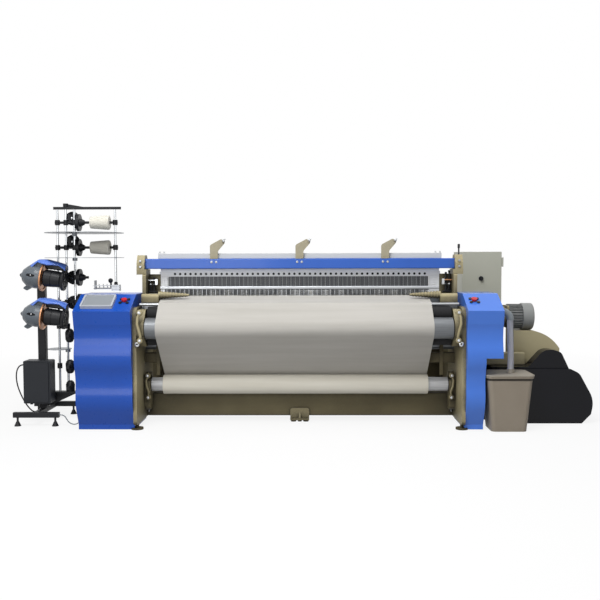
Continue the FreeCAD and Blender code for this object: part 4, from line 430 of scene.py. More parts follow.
NODE_FINISHES: dict[str, Finish] = {
    "left_side_frame": CASTING, "right_side_frame": CASTING, "levelling_feet": PAINTED_SHADE_CASTING,
    "middle_foot": CASTING, "front_lower_beam": PAINTED_SHADE_CASTING, "front_middle_beam": PAINTED_SHADE_CASTING,
    "rear_beams": PAINTED_SHADE_CASTING, "breast_beam": STEEL, "roller_brackets": CASTING,
    "cloth_roll_brackets": CASTING, "top_beam": BEAM_BLUE, "top_beam_brackets": CASTING,
    "hanger_arms": ARM_BEIGE, "take_up_roller": ROLLER, "upper_press_roller": RUBBER,
    "lower_press_roller": RUBBER, "cloth_roller": CORE_STEEL, "back_rest_roller": STEEL,
    "warp_beam": ALUMINIUM, "sley": DARK_ALUMINIUM, "reed": ALUMINIUM,
    "heald_frame_1": RAIL, "heald_frame_2": DARK_ALUMINIUM, "warp_stop_motion": STEEL,
    "left_front_cover": COVER_BLUE, "right_front_cover": COVER_BLUE_PAINTED_LIGHT,
    "left_stop_button": RED, "right_stop_button": RED, "touch_screen": SCREEN_GREY,
    "gear_housings": CASTING, "temples": CASTING, "electrical_cabinet": CABINET,
    "cabinet_door": CABINET, "main_switch": BLACK_PLASTIC, "side_brackets": CASTING,
    "drive_motor": MOTOR, "black_drive_cover": BLACK_GLOSS, "lower_side_box": SHEET_BEIGE,
    "belt_cover": SHEET_BEIGE, "waste_bin": BIN_BROWN, "bin_lid": LID_BROWN,
    "hose_elbow": GREY_PLASTIC, "weft_stand": BLACK_ENAMEL, "control_box": BOX_GREY,
    "feeder_housings": FEEDER_GREY, "feeder_drums": BLACK_PLASTIC, "upper_flyer": COPPER,
    "lower_flyer": COPPER, "creel_frame": CHROME, "creel_trays": TRAY,
    "package_holders": BLACK_PLASTIC, "weft_tensioner": STEEL,
}


def dress(node: str, finish: Finish) -> None:
    """Give a CAD node its finish."""
    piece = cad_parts[node]
    piece.data.materials.clear()
    piece.data.materials.append(finish.material())


# ---------------------------------------------------------------------------------------
# Mesh tools
# ---------------------------------------------------------------------------------------
class Shape:
    """A mesh in the making, from simple forms in the part's frame."""

    def __init__(self) -> None:
        """Start with nothing."""
        self.mesh = bmesh.new()

    def box(self, low: Point, high: Point, round_by: float = 0.0) -> Shape:
        """Add a box between two corners, with softened edges if asked."""
        size = [b - a for a, b in zip(low, high)]
        middle = [(a + b) / 2 for a, b in zip(low, high)]
        place = Matrix.Translation(middle) @ Matrix.Diagonal((*size, 1))
        made = bmesh.ops.create_cube(self.mesh, size=1, matrix=place)
        if round_by:
            edges = list({e for v in made["verts"] for e in v.link_edges})
            bmesh.ops.bevel(self.mesh, geom=edges, offset=round_by, segments=2,
                            affect="EDGES")
        return self

    def side_box(self, side: int, low: Point, high: Point, round_by: float = 0.0) -> Shape:
        """Add a box given for the right side, or its mirror image on the left.

        Args:
            side: 1 for the right side, -1 for the left.
            low: The corner with the least of each, as given for the right side.
            high: The opposite corner.
            round_by: How far its edges are softened.

        Returns:
            This shape.
        """
        near, far = sorted((side * low[0], side * high[0]))
        return self.box((near, *low[1:]), (far, *high[1:]), round_by)

    def loft(self, rings: Sequence[Sequence[Vector]], closed: bool = True,
             capped: bool = True) -> Shape:
        """Join rings of equally many points by faces.

        Args:
            rings: The rings, in order.
            closed: Whether each ring closes on itself.
            capped: Whether the first and last rings get a face.

        Returns:
            This shape.
        """
        rows = [[self.mesh.verts.new(p) for p in ring] for ring in rings]
        count = len(rows[0])
        for one, two in zip(rows, rows[1:]):
            for k in range(count if closed else count - 1):
                n = (k + 1) % count
                self.mesh.faces.new((one[k], one[n], two[n], two[k]))
        if capped and closed:
            self.mesh.faces.new(rows[0][::-1])
            self.mesh.faces.new(rows[-1])
        return self

    def lathe(self, outline: Sequence[tuple[float, float]], origin: Point, axis: Point,
              steps: int = 48, capped: bool = True) -> Shape:
        """Turn an outline round an axis.

        Args:
            outline: Pairs of way along the axis and radius.
            origin: Where the axis starts.
            axis: Its direction.
            steps: How many sides a turn has.
            capped: Whether the ends are closed.

        Returns:
            This shape.
        """
        turn = Vector((0, 0, 1)).rotation_difference(Vector(axis).normalized()).to_matrix()
        rings = [[Vector(origin) + turn @ Vector((r * math.cos(a), r * math.sin(a), way))
                  for a in [math.tau * k / steps for k in range(steps)]]
                 for way, r in outline]
        return self.loft(rings, True, capped)

    def bolt(self, place: Point, axis: Point, across: float = 0.009,
             high: float = 0.007) -> Shape:
        """Add a hexagon head with its washer."""
        self.lathe([(0, across * 1.15), (high * 0.25, across * 1.15)], place, axis, 20)
        return self.lathe([(high * 0.2, across), (high * 0.85, across), (high, across * 0.8)],
                          place, axis, 6)

    def sweep(self, points: Sequence[Vector], radius: float, sides: int = 12) -> Shape:
        """Add a tube along points."""
        rings = []
        side = Vector((0, 0, 1))
        for k, point in enumerate(points):
            way = points[min(k + 1, len(points) - 1)] - points[max(k - 1, 0)]
            way.normalize()
            side = (side - way * side.dot(way)).normalized()
            if side.length < 0.5:
                side = way.orthogonal().normalized()
            other = way.cross(side)
            rings.append([point + (side * math.cos(a) + other * math.sin(a)) * radius
                          for a in [math.tau * i / sides for i in range(sides)]])
        return self.loft(rings)

    def piece(self, name: str, finish: Finish, body: str = "frame", smooth: float = 35.0,
              *, slot: str | None = None) -> bpy.types.Object:
        """Finish the mesh as an object that rides on a body.

        Args:
            name: The object's name.
            finish: Its finish.
            body: The CAD body that it moves with.
            smooth: Edges under this many degrees are shaded smooth.
            slot: Not used.

        Returns:
            The object.
        """
        bmesh.ops.recalc_face_normals(self.mesh, faces=self.mesh.faces)
        data = bpy.data.meshes.new(name)
        self.mesh.to_mesh(data)
        self.mesh.free()
        data.materials.append(finish.material())
        if smooth:
            data.shade_smooth()
            data.set_sharp_from_angle(angle=math.radians(smooth))
        item = bpy.data.objects.new(name, data)
        bpy.context.scene.collection.objects.link(item)
        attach(item, body)
        log.info("%s: %d faces on %s", name, len(data.polygons), body)
        return item


STRAIGHT_STEPS = 8


def wrapped(stops: Sequence[tuple[float, float, float]], steps: int = 14
            ) -> list[tuple[Vector, bool]]:
    """The line of something pulled tight over rollers.

    Args:
        stops: (y, z, radius) of each; the radius is positive where the roller lies to the
            left of the way, and 0 for a point.
        steps: How many parts the arc round a roller has.

    Returns:
        Points in the YZ plane with X at 0, each with whether it lies on a roller. Each
        straight run has STRAIGHT_STEPS parts.
    """
    runs = []
    for (y0, z0, r0), (y1, z1, r1) in zip(stops, stops[1:]):
        start, end = Vector((0, y0, z0)), Vector((0, y1, z1))
        way = end - start
        spread = r1 - r0
        heading = math.atan2(way.z, way.y) - math.atan2(
            spread, math.sqrt(way.length ** 2 - spread ** 2))
        left = Vector((0, -math.sin(heading), math.cos(heading)))
        runs.append((start - left * r0, end - left * r1))
    points = [(runs[0][0], False)]
    for k, (start, end) in enumerate(runs):
        points += [(start.lerp(end, i / STRAIGHT_STEPS), False)
                   for i in range(1, STRAIGHT_STEPS)]
        points.append((end, k + 1 < len(runs)))
        if k + 1 < len(runs):
            y, z, _ = stops[k + 1]
            middle = Vector((0, y, z))
            one, two = end - middle, runs[k + 1][0] - middle
            turn = one.rotation_difference(two)
            for i in range(1, steps + 1):
                part = turn.copy()
                part.angle = turn.angle * i / steps
                arm = one.copy()
                arm.rotate(part)
                points.append((middle + arm, True))
    return points


# ---------------------------------------------------------------------------------------
# Cloth and warp
# ---------------------------------------------------------------------------------------
@dataclass
class ClothRun:
    """The woven cloth from the fell to its roll, and the roll.

    Rollers are given as (y, z, radius). The swell is the little fullness that the cloth
    has where no roller holds it, and it grows over swell_rows rows of points.
    """

    left: float = -1.047
    right: float = 0.983
    thick: float = 0.0012
    fell: tuple[float, float] = (-0.035, 0.978)
    nose: tuple[float, float, float] = (-0.225, 0.922, 0.0104)
    take_up: tuple[float, float, float] = (-0.310, 0.750, 0.0794)
    roll: tuple[float, float, float] = (-0.030, 0.295, 0.074)
    roll_gap: float = 0.0003
    columns: int = 150
    swell: float = 0.0008
    swell_rows: int = 4
    seed: int = 7
    core: float = 0.0532
    turns: int = 11
    stagger: float = 0.0016
    shoulder: float = 0.002
    crown_in: float = 0.006
    crown_drop: float = 0.0001
    crown_ripple: float = 0.0002
    crown_steps: int = 24

    def line(self) -> list[tuple[Vector, bool]]:
        """The middle of the cloth, from the fell to the roll."""
        half = self.thick / 2
        return wrapped([(*self.fell, 0), (*self.nose[:2], self.nose[2] + half),
                        (*self.take_up[:2], self.take_up[2] + half),
                        (*self.roll[:2], -(self.roll[2] + self.roll_gap + half))])

    def fullness(self, x: float, run: float, slack: int) -> float:
        """How far the cloth stands off its taut line.

        Args:
            x: The place across the cloth.
            run: The way along it from the fell.
            slack: How many rows of points lie between here and the nearest roller.

        Returns:
            The distance along the cloth's normal.
        """
        grown = self.swell * min(slack, self.swell_rows) / self.swell_rows
        return grown * math.sin(x * 9 + run * 3) * math.sin(x * 3.1 + 1.3)

    def build_cloth(self) -> None:
        """Make the cloth: taut on the rollers, with a little fullness between them."""
        line = self.line()
        lengths = [0.0]
        for (one, _), (two, _) in zip(line, line[1:]):
            lengths.append(lengths[-1] + (two - one).length)
        free = [min(abs(k - n) for n, (_, held) in enumerate(line) if held)
                for k in range(len(line))]
        normals = []
        for k in range(len(line)):
            way = line[min(k + 1, len(line) - 1)][0] - line[max(k - 1, 0)][0]
            normals.append(Vector((0, -way.z, way.y)).normalized())
        sides = []
        for face in (1, -1):
            rows = []
            for (point, _), normal, slack, run in zip(line, normals, free, lengths):
                row = []
                for c in range(self.columns + 1):
                    x = self.left + (self.right - self.left) * c / self.columns
                    off = self.fullness(x, run, slack) + face * self.thick / 2
                    row.append(point + Vector((x, 0, 0)) + normal * off)
                rows.append(row)
            sides.append(rows)
        shape = Shape()
        rings = [front + back[::-1] for front, back in zip(*sides)]
        shape.loft(rings)
        cloth = shape.piece("cloth", CLOTH, slot="cloth")
        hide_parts("fabric")

    def build_roll(self) -> None:
        """Make the roll: level turns with slightly staggered edges."""
        y, z, radius = self.roll
        chance = random.Random(self.seed)
        ends = []
        for k in range(self.turns + 1):
            r = self.core + (radius - self.thick - self.core) * k / self.turns
            ends.append((r, chance.uniform(0.0, self.stagger)))
        span = self.right - self.left - 2 * self.crown_in
        outline = [(self.left + out, r) for r, out in ends]
        outline.append((self.left + self.shoulder, radius - self.roll_gap))
        for k in range(self.crown_steps + 1):
            ripple = self.crown_ripple * abs(math.sin(k * 1.7))
            outline.append((self.left + self.crown_in + span * k / self.crown_steps,
                            radius - self.crown_drop - ripple))
        outline.append((self.right - self.shoulder, radius - self.roll_gap))
        outline += [(self.right - out, r) for r, out in reversed(ends)]
        roll = Shape().lathe(outline, (0, y, z), (1, 0, 0), 96).piece(
            "rolled_cloth", ROLL_CLOTH, "cloth_winder", slot="cloth")
        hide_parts("cloth_roll")


@dataclass
class Shed:
    """The warp ends from the fell to the warp beam, and what they run through.

    Rollers are given as (y, z, radius). wire, eye, head and the other flat forms of the
    healds are given by half their width and half their depth, and the eye also by half
    its height.
    """

    pitch: float = 0.0034
    first: float = -1.037
    last: float = 0.973
    cad_wire_every: int = 10
    cad_wire_at: int = 5
    radius: float = 0.0006
    lift: float = 0.0003
    fell_y: float = -0.035
    line_z: float = 0.978
    lease_y: float = 0.630
    back_rest: tuple[float, float, float] = (0.870, 0.9123, 0.0659)
    beam: tuple[float, float, float] = (1.100, 0.500, 0.2909)
    wound: float = 0.290
    wound_half: float = 1.047
    wound_core: float = 0.078
    wound_edge: float = 0.002
    wound_ripple: float = 0.0006
    wound_steps: int = 30
    frame_bodies: tuple[str, str] = ("heald_1", "heald_2")
    plugged_body: str = "heald_1"
    heald_y: tuple[float, float] = (0.1575, 0.1875)
    heald_z: tuple[float, float] = (0.842, 1.120)
    heald_end: float = 1.012
    wire: tuple[float, float] = (0.0006, 0.0010)
    eye: tuple[float, float, float] = (0.0008, 0.0014, 0.009)
    head: tuple[float, float] = (0.0011, 0.0016)
    head_z: float = 1.032
    stay_x: tuple[tuple[float, float], ...] = ((-1.090, -1.043), (1.020, 1.090))
    stay_low: float = 0.845
    stay_deep: float = 0.002
    stay_bolts: tuple[float, ...] = (1.095, 1.060)
    edge_z: tuple[float, float] = (1.161, 1.186)
    edge: tuple[float, float] = (1.098, 0.0015)
    plugs: int = 24
    plug_pitch: float = 0.041
    plug_z: float = 1.1415
    plug_out: float = 0.0075
    plug_form: Outline = ((0, 0.0095), (0.0008, 0.0095), (0.001, 0.0088))
    reed_y: tuple[float, float] = (-0.0185, -0.0095)
    reed_z: tuple[float, float] = (0.964, 1.030)
    dent: float = 0.0007
    drop_y: tuple[float, float] = (0.5385, 0.5505)
    drop_z: tuple[float, float] = (0.915, 1.004)

    def places(self) -> list[float]:
        """Where the ends lie on X, leaving out those that would meet a CAD wire."""
        count = int((self.last - self.first) / self.pitch)
        return [self.first + self.pitch * k for k in range(count + 1)
                if k % self.cad_wire_every != self.cad_wire_at]

    def build_ends(self) -> None:
        """Make each warp end as a fine thread over the back rest to the beam."""
        line = wrapped([(self.fell_y, self.line_z, 0), (self.lease_y, self.line_z, 0),
                        (*self.back_rest[:2], -self.back_rest[2]),
                        (*self.beam[:2], -self.beam[2])], 6)
        kept = [line[0][0]] + [p for k, (p, held) in enumerate(line)
                               if held or k in (STRAIGHT_STEPS, len(line) - 1)]
        corners = [(self.radius * math.sin(a), self.radius * math.cos(a))
                   for a in (0, math.tau / 3, 2 * math.tau / 3)]
        shape = Shape()
        for n, x in enumerate(self.places()):
            lift = self.lift * (-1) ** n
            shape.loft([[point + Vector((x + out, 0, lift + up)) for out, up in corners]
                        for point in kept], capped=False)
        ends = shape.piece("warp_ends", WARP, slot="cloth", smooth=180)
        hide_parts("warp_sheet")

    def build_warp_roll(self) -> None:
        """Make the yarn on the beam as one even winding."""
        y, z = self.beam[:2]
        flat = self.wound_half - self.wound_edge
        edge = [(self.wound_half, self.wound_core),
                (self.wound_half, self.wound - self.wound_edge), (flat, self.wound)]
        outline = [(-x, r) for x, r in edge]
        for k in range(1, self.wound_steps):
            ripple = self.wound_ripple * abs(math.sin(k * 2.3))
            outline.append((2 * flat * k / self.wound_steps - flat, self.wound - ripple))
        outline += reversed(edge)
        roll = Shape().lathe(outline, (0, y, z), (1, 0, 0), 96).piece(
            "wound_warp", WARP, "warp_supply", slot="cloth")
        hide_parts("warp_roll")

    def build_healds(self) -> None:
        """Fill both frames with their healds and close their ends."""
        for body, y, shift in zip(self.frame_bodies, self.heald_y, (0.0, self.pitch / 2)):
            self.build_wires(body, y, shift)
            self.build_frame_ends(body, y)
            if body == self.plugged_body:
                self.build_plugs(body, y)

    def build_wires(self, body: str, y: float, shift: float) -> None:
        """Hang one frame's flat steel healds, an eye at the warp line in each.

        Args:
            body: The frame's body.
            y: Its middle plane.
            shift: How far the heads stand beside their wires, so that both rows show.
        """
        low, high = self.heald_z
        wide, deep = self.wire
        eye_wide, eye_deep, eye_tall = self.eye
        head_wide, head_deep = self.head
        shape = Shape()
        x = self.first + self.pitch / 2
        while x < self.heald_end:
            shape.box((x - wide, y - deep, low), (x + wide, y + deep, high))
            shape.box((x - eye_wide, y - eye_deep, self.line_z - eye_tall),
                      (x + eye_wide, y + eye_deep, self.line_z + eye_tall))
            head = x + shift
            shape.box((head - head_wide, y - head_deep, self.head_z),
                      (head + head_wide, y + head_deep, high))
            x += self.pitch
        shape.piece(f"{body}_wires", HEALD_STEEL, body, 0, slot="steel")

    def build_frame_ends(self, body: str, y: float) -> None:
        """Close one frame with its end plates and its bright upper edge.

        Args:
            body: The frame's body.
            y: Its middle plane.
        """
        ends = Shape()
        front = y - self.stay_deep
        for near, far in self.stay_x:
            ends.box((near, front, self.stay_low),
                     (far, y + self.stay_deep, self.heald_z[1]), 0.001)
            for z in self.stay_bolts:
                ends.bolt(((near + far) / 2, front, z), (0, -1, 0), 0.006, 0.004)
        half, deep = self.edge
        low, high = self.edge_z
        ends.box((-half, y - deep, low), (half, y + deep, high), 0.0007)
        ends.piece(f"{body}_ends", RAIL, body, slot="aluminium")

    def build_plugs(self, body: str, y: float) -> None:
        """Close the front rail's row of holes with flat black plugs.

        Args:
            body: The frame's body.
            y: Its middle plane.
        """
        plugs = Shape()
        for k in range(-self.plugs, self.plugs + 1):
            plugs.lathe(self.plug_form, (self.plug_pitch * k, y - self.plug_out, self.plug_z),
                        (0, -1, 0), 20)
        plugs.piece("rail_plugs", BLACK_PLASTIC, body, slot="black_plastic")

    def build_reed(self) -> None:
        """Fill the reed with its dents."""
        shape = Shape()
        near, far = self.reed_y
        low, high = self.reed_z
        for x in self.places():
            at = x + self.pitch / 2
            shape.box((at - self.dent, near, low), (at + self.dent, far, high))
        shape.piece("reed_dents", DENT_STEEL, "sley_unit", 0, slot="steel")

    def build_drop_wires(self) -> None:
        """Hang a drop wire on every second end."""
        shape = Shape()
        wide = self.wire[0]
        near, far = self.drop_y
        low, high = self.drop_z
        for x in self.places()[::2]:
            at = x + self.pitch / 2
            shape.box((at - wide, near, low), (at + wide, far, high))
        shape.piece("drop_wires", HEALD_STEEL, "frame", 0, slot="steel")


# ---------------------------------------------------------------------------------------
# Machine frame and covers
# ---------------------------------------------------------------------------------------
@dataclass
class MachineFrame:
    """The castings' bolts and small fittings, and dark plates that stand in for shade.

    Places and boxes of pieces that stand on both sides are given for the right side, and
    the pin and the rod at an arm's tip from that arm's middle. boss_off is how far a boss
    lies inward and in front of its lever's end. A jet rod is (x, top, skew): the right one
    ends higher than top by the skew, and the left one lower.
    """

    inner: float = 1.187
    bolt_depth: float = 0.012
    beam_bolts_y: tuple[float, ...] = (0.005, 0.135)
    beam_bolts_z: tuple[float, ...] = (0.085, 0.175)
    bracket_bolt: tuple[float, float] = (1.232, 0.024)
    bracket_bolts_z: tuple[float, ...] = (1.2, 1.245)
    hanger_spacing: float = 0.667
    hanger_bolt: tuple[float, float] = (0.070, 1.236)
    hanger_bolts_x: tuple[float, ...] = (-0.018, 0.018)
    tip_pin: Point = (0.078, 0.050, 1.400)
    tip_pin_form: Outline = ((0, 0.005), (0.004, 0.009), (0.034, 0.009), (0.038, 0.006))
    tip_rod: Point = (0.066, 0.060, 1.404)
    tip_rod_form: Outline = ((0, 0.0045), (0.030, 0.0045))
    tip_rod_way: Point = (0.8, 0, 0.35)
    # The window and screen boxes are dark plates standing in for the shade inside the frames:
    # painted shade.
    window_x: tuple[float, float] = (1.200, 1.202)
    windows_y: tuple[tuple[float, float], ...] = ((0.247, 0.643), (0.717, 0.913))
    window_z: tuple[float, float] = (0.217, 0.623)
    screen: tuple[Point, Point] = ((1.050, 0.660, 0.150), (1.1865, 0.663, 0.500))
    upper_lever: tuple[Point, ...] = (
        (1.158, -0.398, 0.872), (1.170, -0.408, 0.835), (1.172, -0.412, 0.790),
        (1.160, -0.410, 0.745), (1.150, -0.402, 0.700), (1.158, -0.392, 0.668))
    lower_lever: tuple[Point, ...] = (
        (1.160, -0.108, 0.372), (1.171, -0.118, 0.335), (1.166, -0.122, 0.290),
        (1.152, -0.118, 0.250), (1.158, -0.108, 0.205))
    lever_radii: tuple[float, float] = (0.011, 0.010)
    boss_off: tuple[float, float] = (0.002, 0.014)
    boss_form: Outline = ((0, 0.016), (0.004, 0.021), (0.024, 0.021), (0.028, 0.016))
    eye: Point = (1.178, -0.394, 0.640)
    eye_form: Outline = ((0, 0.009), (0.003, 0.017), (0.010, 0.017), (0.013, 0.009),
                         (0.0131, 0.006), (0.004, 0.006))
    jet_shelf: tuple[Point, Point] = ((1.116, 0.078, 1.000), (1.1865, 0.132, 1.009))
    jet_valve: tuple[Point, Point] = ((1.110, 0.078, 1.058), (1.128, 0.110, 1.104))
    jet_rods: tuple[Point, ...] = ((1.142, 1.136, 0.018), (1.168, 1.134, 0.034))
    jet_rod_y: float = 0.104
    jet_rod_radii: tuple[float, float] = (0.009, 0.0065)
    jet_collar_z: float = 1.060
    jet_collar_form: Outline = ((0, 0.0105), (0.008, 0.0105))
    jet_hose: tuple[Point, ...] = (
        (1.128, 0.094, 1.070), (1.150, 0.088, 1.062), (1.164, 0.086, 1.040),
        (1.158, 0.088, 1.018), (1.150, 0.090, 1.006))
    jet_hose_radius: float = 0.004
    jet_pipe: Point = (1.112, 0.086, 1.094)
    jet_pipe_form: Outline = ((0, 0.0045), (0.074, 0.0045))
    stop_pin: Point = (1.240, 0.098, 1.290)
    stop_pin_form: Outline = ((0, 0.0075), (0.004, 0.006), (0.048, 0.006), (0.052, 0.0095),
                              (0.078, 0.0095), (0.082, 0.0075))

    def build_bolts(self) -> None:
        """Put bolt heads where the beams, brackets and arms are held, and the arms' pins."""
        shape = Shape()
        for side in (-1, 1):
            for y in self.beam_bolts_y:
                for z in self.beam_bolts_z:
                    shape.bolt((side * (self.inner - self.bolt_depth), y, z), (-side, 0, 0),
                               0.011)
            x, y = self.bracket_bolt
            for z in self.bracket_bolts_z:
                shape.bolt((side * x, y, z), (0, -1, 0), 0.008)
        for step in (-1, 0, 1):
            x = step * self.hanger_spacing
            for tip, form, way, sides in (
                    (self.tip_pin, self.tip_pin_form, (0, 1, 0), 16),
                    (self.tip_rod, self.tip_rod_form, self.tip_rod_way, 12)):
                shape.lathe(form, (x + tip[0], *tip[1:]), way, sides)
            for shift in self.hanger_bolts_x:
                shape.bolt((x + shift, *self.hanger_bolt), (0, -1, 0), 0.008, 0.006)
        shape.piece("frame_bolts", STEEL, slot="steel")

    def build_window_plates(self) -> None:
        """Close the side frames' windows with dark plates set in their thickness, and set one
        more dark plate inside each frame: painted shade where the inside lies in shadow.
        """
        shape = Shape()
        (inside, outside), (low, high) = self.window_x, self.window_z
        for side in (-1, 1):
            for near, far in self.windows_y:
                shape.side_box(side, (inside, near, low), (outside, far, high))
            shape.side_box(side, *self.screen)
        shape.piece("window_shade_plates", PAINTED_SHADE_CASTING, slot="machine_enamel")

    def build_levers(self) -> None:
        """Hang the pressure levers with their eye bolts before the rollers' ends."""
        levers, bolts = Shape(), Shape()
        inward, ahead = self.boss_off
        for side in (-1, 1):
            for path, radius in zip((self.upper_lever, self.lower_lever), self.lever_radii):
                levers.sweep([Vector((side * x, y, z)) for x, y, z in path], radius, 14)
                for x, y, z in (path[0], path[-1]):
                    boss = (side * (x - inward), y - ahead, z)
                    levers.lathe(self.boss_form, boss, (0, 1, 0), 24)
                    bolts.bolt(boss, (0, -1, 0), 0.009, 0.006)
            bolts.lathe(self.eye_form, (side * self.eye[0], *self.eye[1:]), (0, 1, 0), 24,
                        False)
        levers.piece("pressure_levers", CASTING, slot="machine_enamel")
        bolts.piece("lever_bolts", BRIGHT, slot="steel")

    def jet_rod_form(self, high: float) -> Outline:
        """The outline of a jet's upright rod: thick at both ends and thin between.

        Args:
            high: How tall the rod is.

        Returns:
            Pairs of way along its axis and radius.
        """
        thick, thin = self.jet_rod_radii
        return ((0, thick), (0.030, thick), (0.032, thin), (high - 0.020, thin),
                (high - 0.018, thick), (high, thick))

    def build_jet_gear(self) -> None:
        """Stand the valves, pipes and hoses beside both ends of the reed."""
        dark, bright, copper = Shape(), Shape(), Shape()
        foot = self.jet_shelf[1][2]
        for side in (-1, 1):
            dark.side_box(side, *self.jet_shelf, 0.002)
            bright.side_box(side, *self.jet_valve, 0.003)
            for x, top, skew in self.jet_rods:
                dark.lathe(self.jet_rod_form(top + skew * side - foot),
                           (side * x, self.jet_rod_y, foot), (0, 0, 1), 20)
                bright.lathe(self.jet_collar_form,
                             (side * x, self.jet_rod_y, self.jet_collar_z), (0, 0, 1), 20)
            dark.sweep([Vector((side * x, y, z)) for x, y, z in self.jet_hose],
                       self.jet_hose_radius, 10)
        for side, metal in ((1, copper), (-1, bright)):
            metal.lathe(self.jet_pipe_form, (side * self.jet_pipe[0], *self.jet_pipe[1:]),
                        (side, 0, 0), 16)
        dark.piece("jet_hoses", BLACK_PLASTIC, slot="black_plastic")
        bright.piece("jet_valves", BRIGHT, slot="steel")
        copper.piece("jet_pipe", COPPER, slot="copper")

    def build_stop_pin(self) -> None:
        """Stand the black pin with its knob on the right bracket."""
        Shape().lathe(self.stop_pin_form, self.stop_pin, (0, 0, 1), 24).piece(
            "bracket_pin", BLACK_PLASTIC, slot="black_plastic")


# ---------------------------------------------------------------------------------------
# Cords and hose
# ---------------------------------------------------------------------------------------
@dataclass(frozen=True)
class CordRoute:
    name: str
    node: str
    points: tuple[tuple[float, float, float], ...]
    radius: float
    length: float
    stiffness: str
    lay: str
    finish: Finish
    slot: str

    def build(self) -> bpy.types.Object:
        curve = bpy.data.curves.new(self.name, "CURVE")
        curve.dimensions = "3D"
        spline = curve.splines.new("NURBS")
        spline.points.add(len(self.points) - 1)
        for control, point in zip(spline.points, self.points):
            control.co = (*[c / 1000 for c in point], 1)
        spline.order_u = 3
        spline.use_endpoint_u = True
        curve.resolution_u = 8
        curve.bevel_depth = self.radius
        curve.bevel_resolution = 4
        curve.use_fill_caps = True
        curve.materials.append(self.finish.material())
        item = bpy.data.objects.new(self.name, curve)
        bpy.context.scene.collection.objects.link(item)
        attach(item, "frame")
        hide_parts(self.node)
        log.info("%s: a cord of %.3f m", self.name, self.length)
        return item


BOX_CABLE = CordRoute(
    "box_cable", "control_box_cable",
    ((-2105, -70, 452), (-2132, -70, 452), (-2157, -71, 440), (-2172, -73, 413),
     (-2178, -75, 378), (-2177, -77, 340), (-2170, -79, 300), (-2158, -80, 260),
     (-2142, -80, 220), (-2124, -79, 182), (-2104, -77, 146), (-2080, -74, 113),
     (-2051, -72, 86), (-2019, -72, 86)), 0.005, 0.477, "medium", "hanging", RUBBER,
    "black_rubber")
LINK_CABLE = CordRoute(
    "stand_cable", "link_cable",
    ((-1819, -184, 85), (-1796, -184, 85), (-1775, -183, 73), (-1762, -181, 50),
     (-1748, -178, 27), (-1725, -174, 12), (-1699, -169, 9), (-1675, -165, 21),
     (-1655, -163, 40), (-1630, -163, 40)), 0.004, 0.231, "medium", "loose", GREY_PLASTIC,
    "grey_plastic")
WASTE_HOSE = CordRoute(
    "waste_hose", "suction_hose",
    ((1556, -270, 808), (1556, -270, 698), (1560, -284, 552), (1560, -284, 446)),
    0.023, 0.363, "stiff", "hanging", HOSE, "clear_hose")


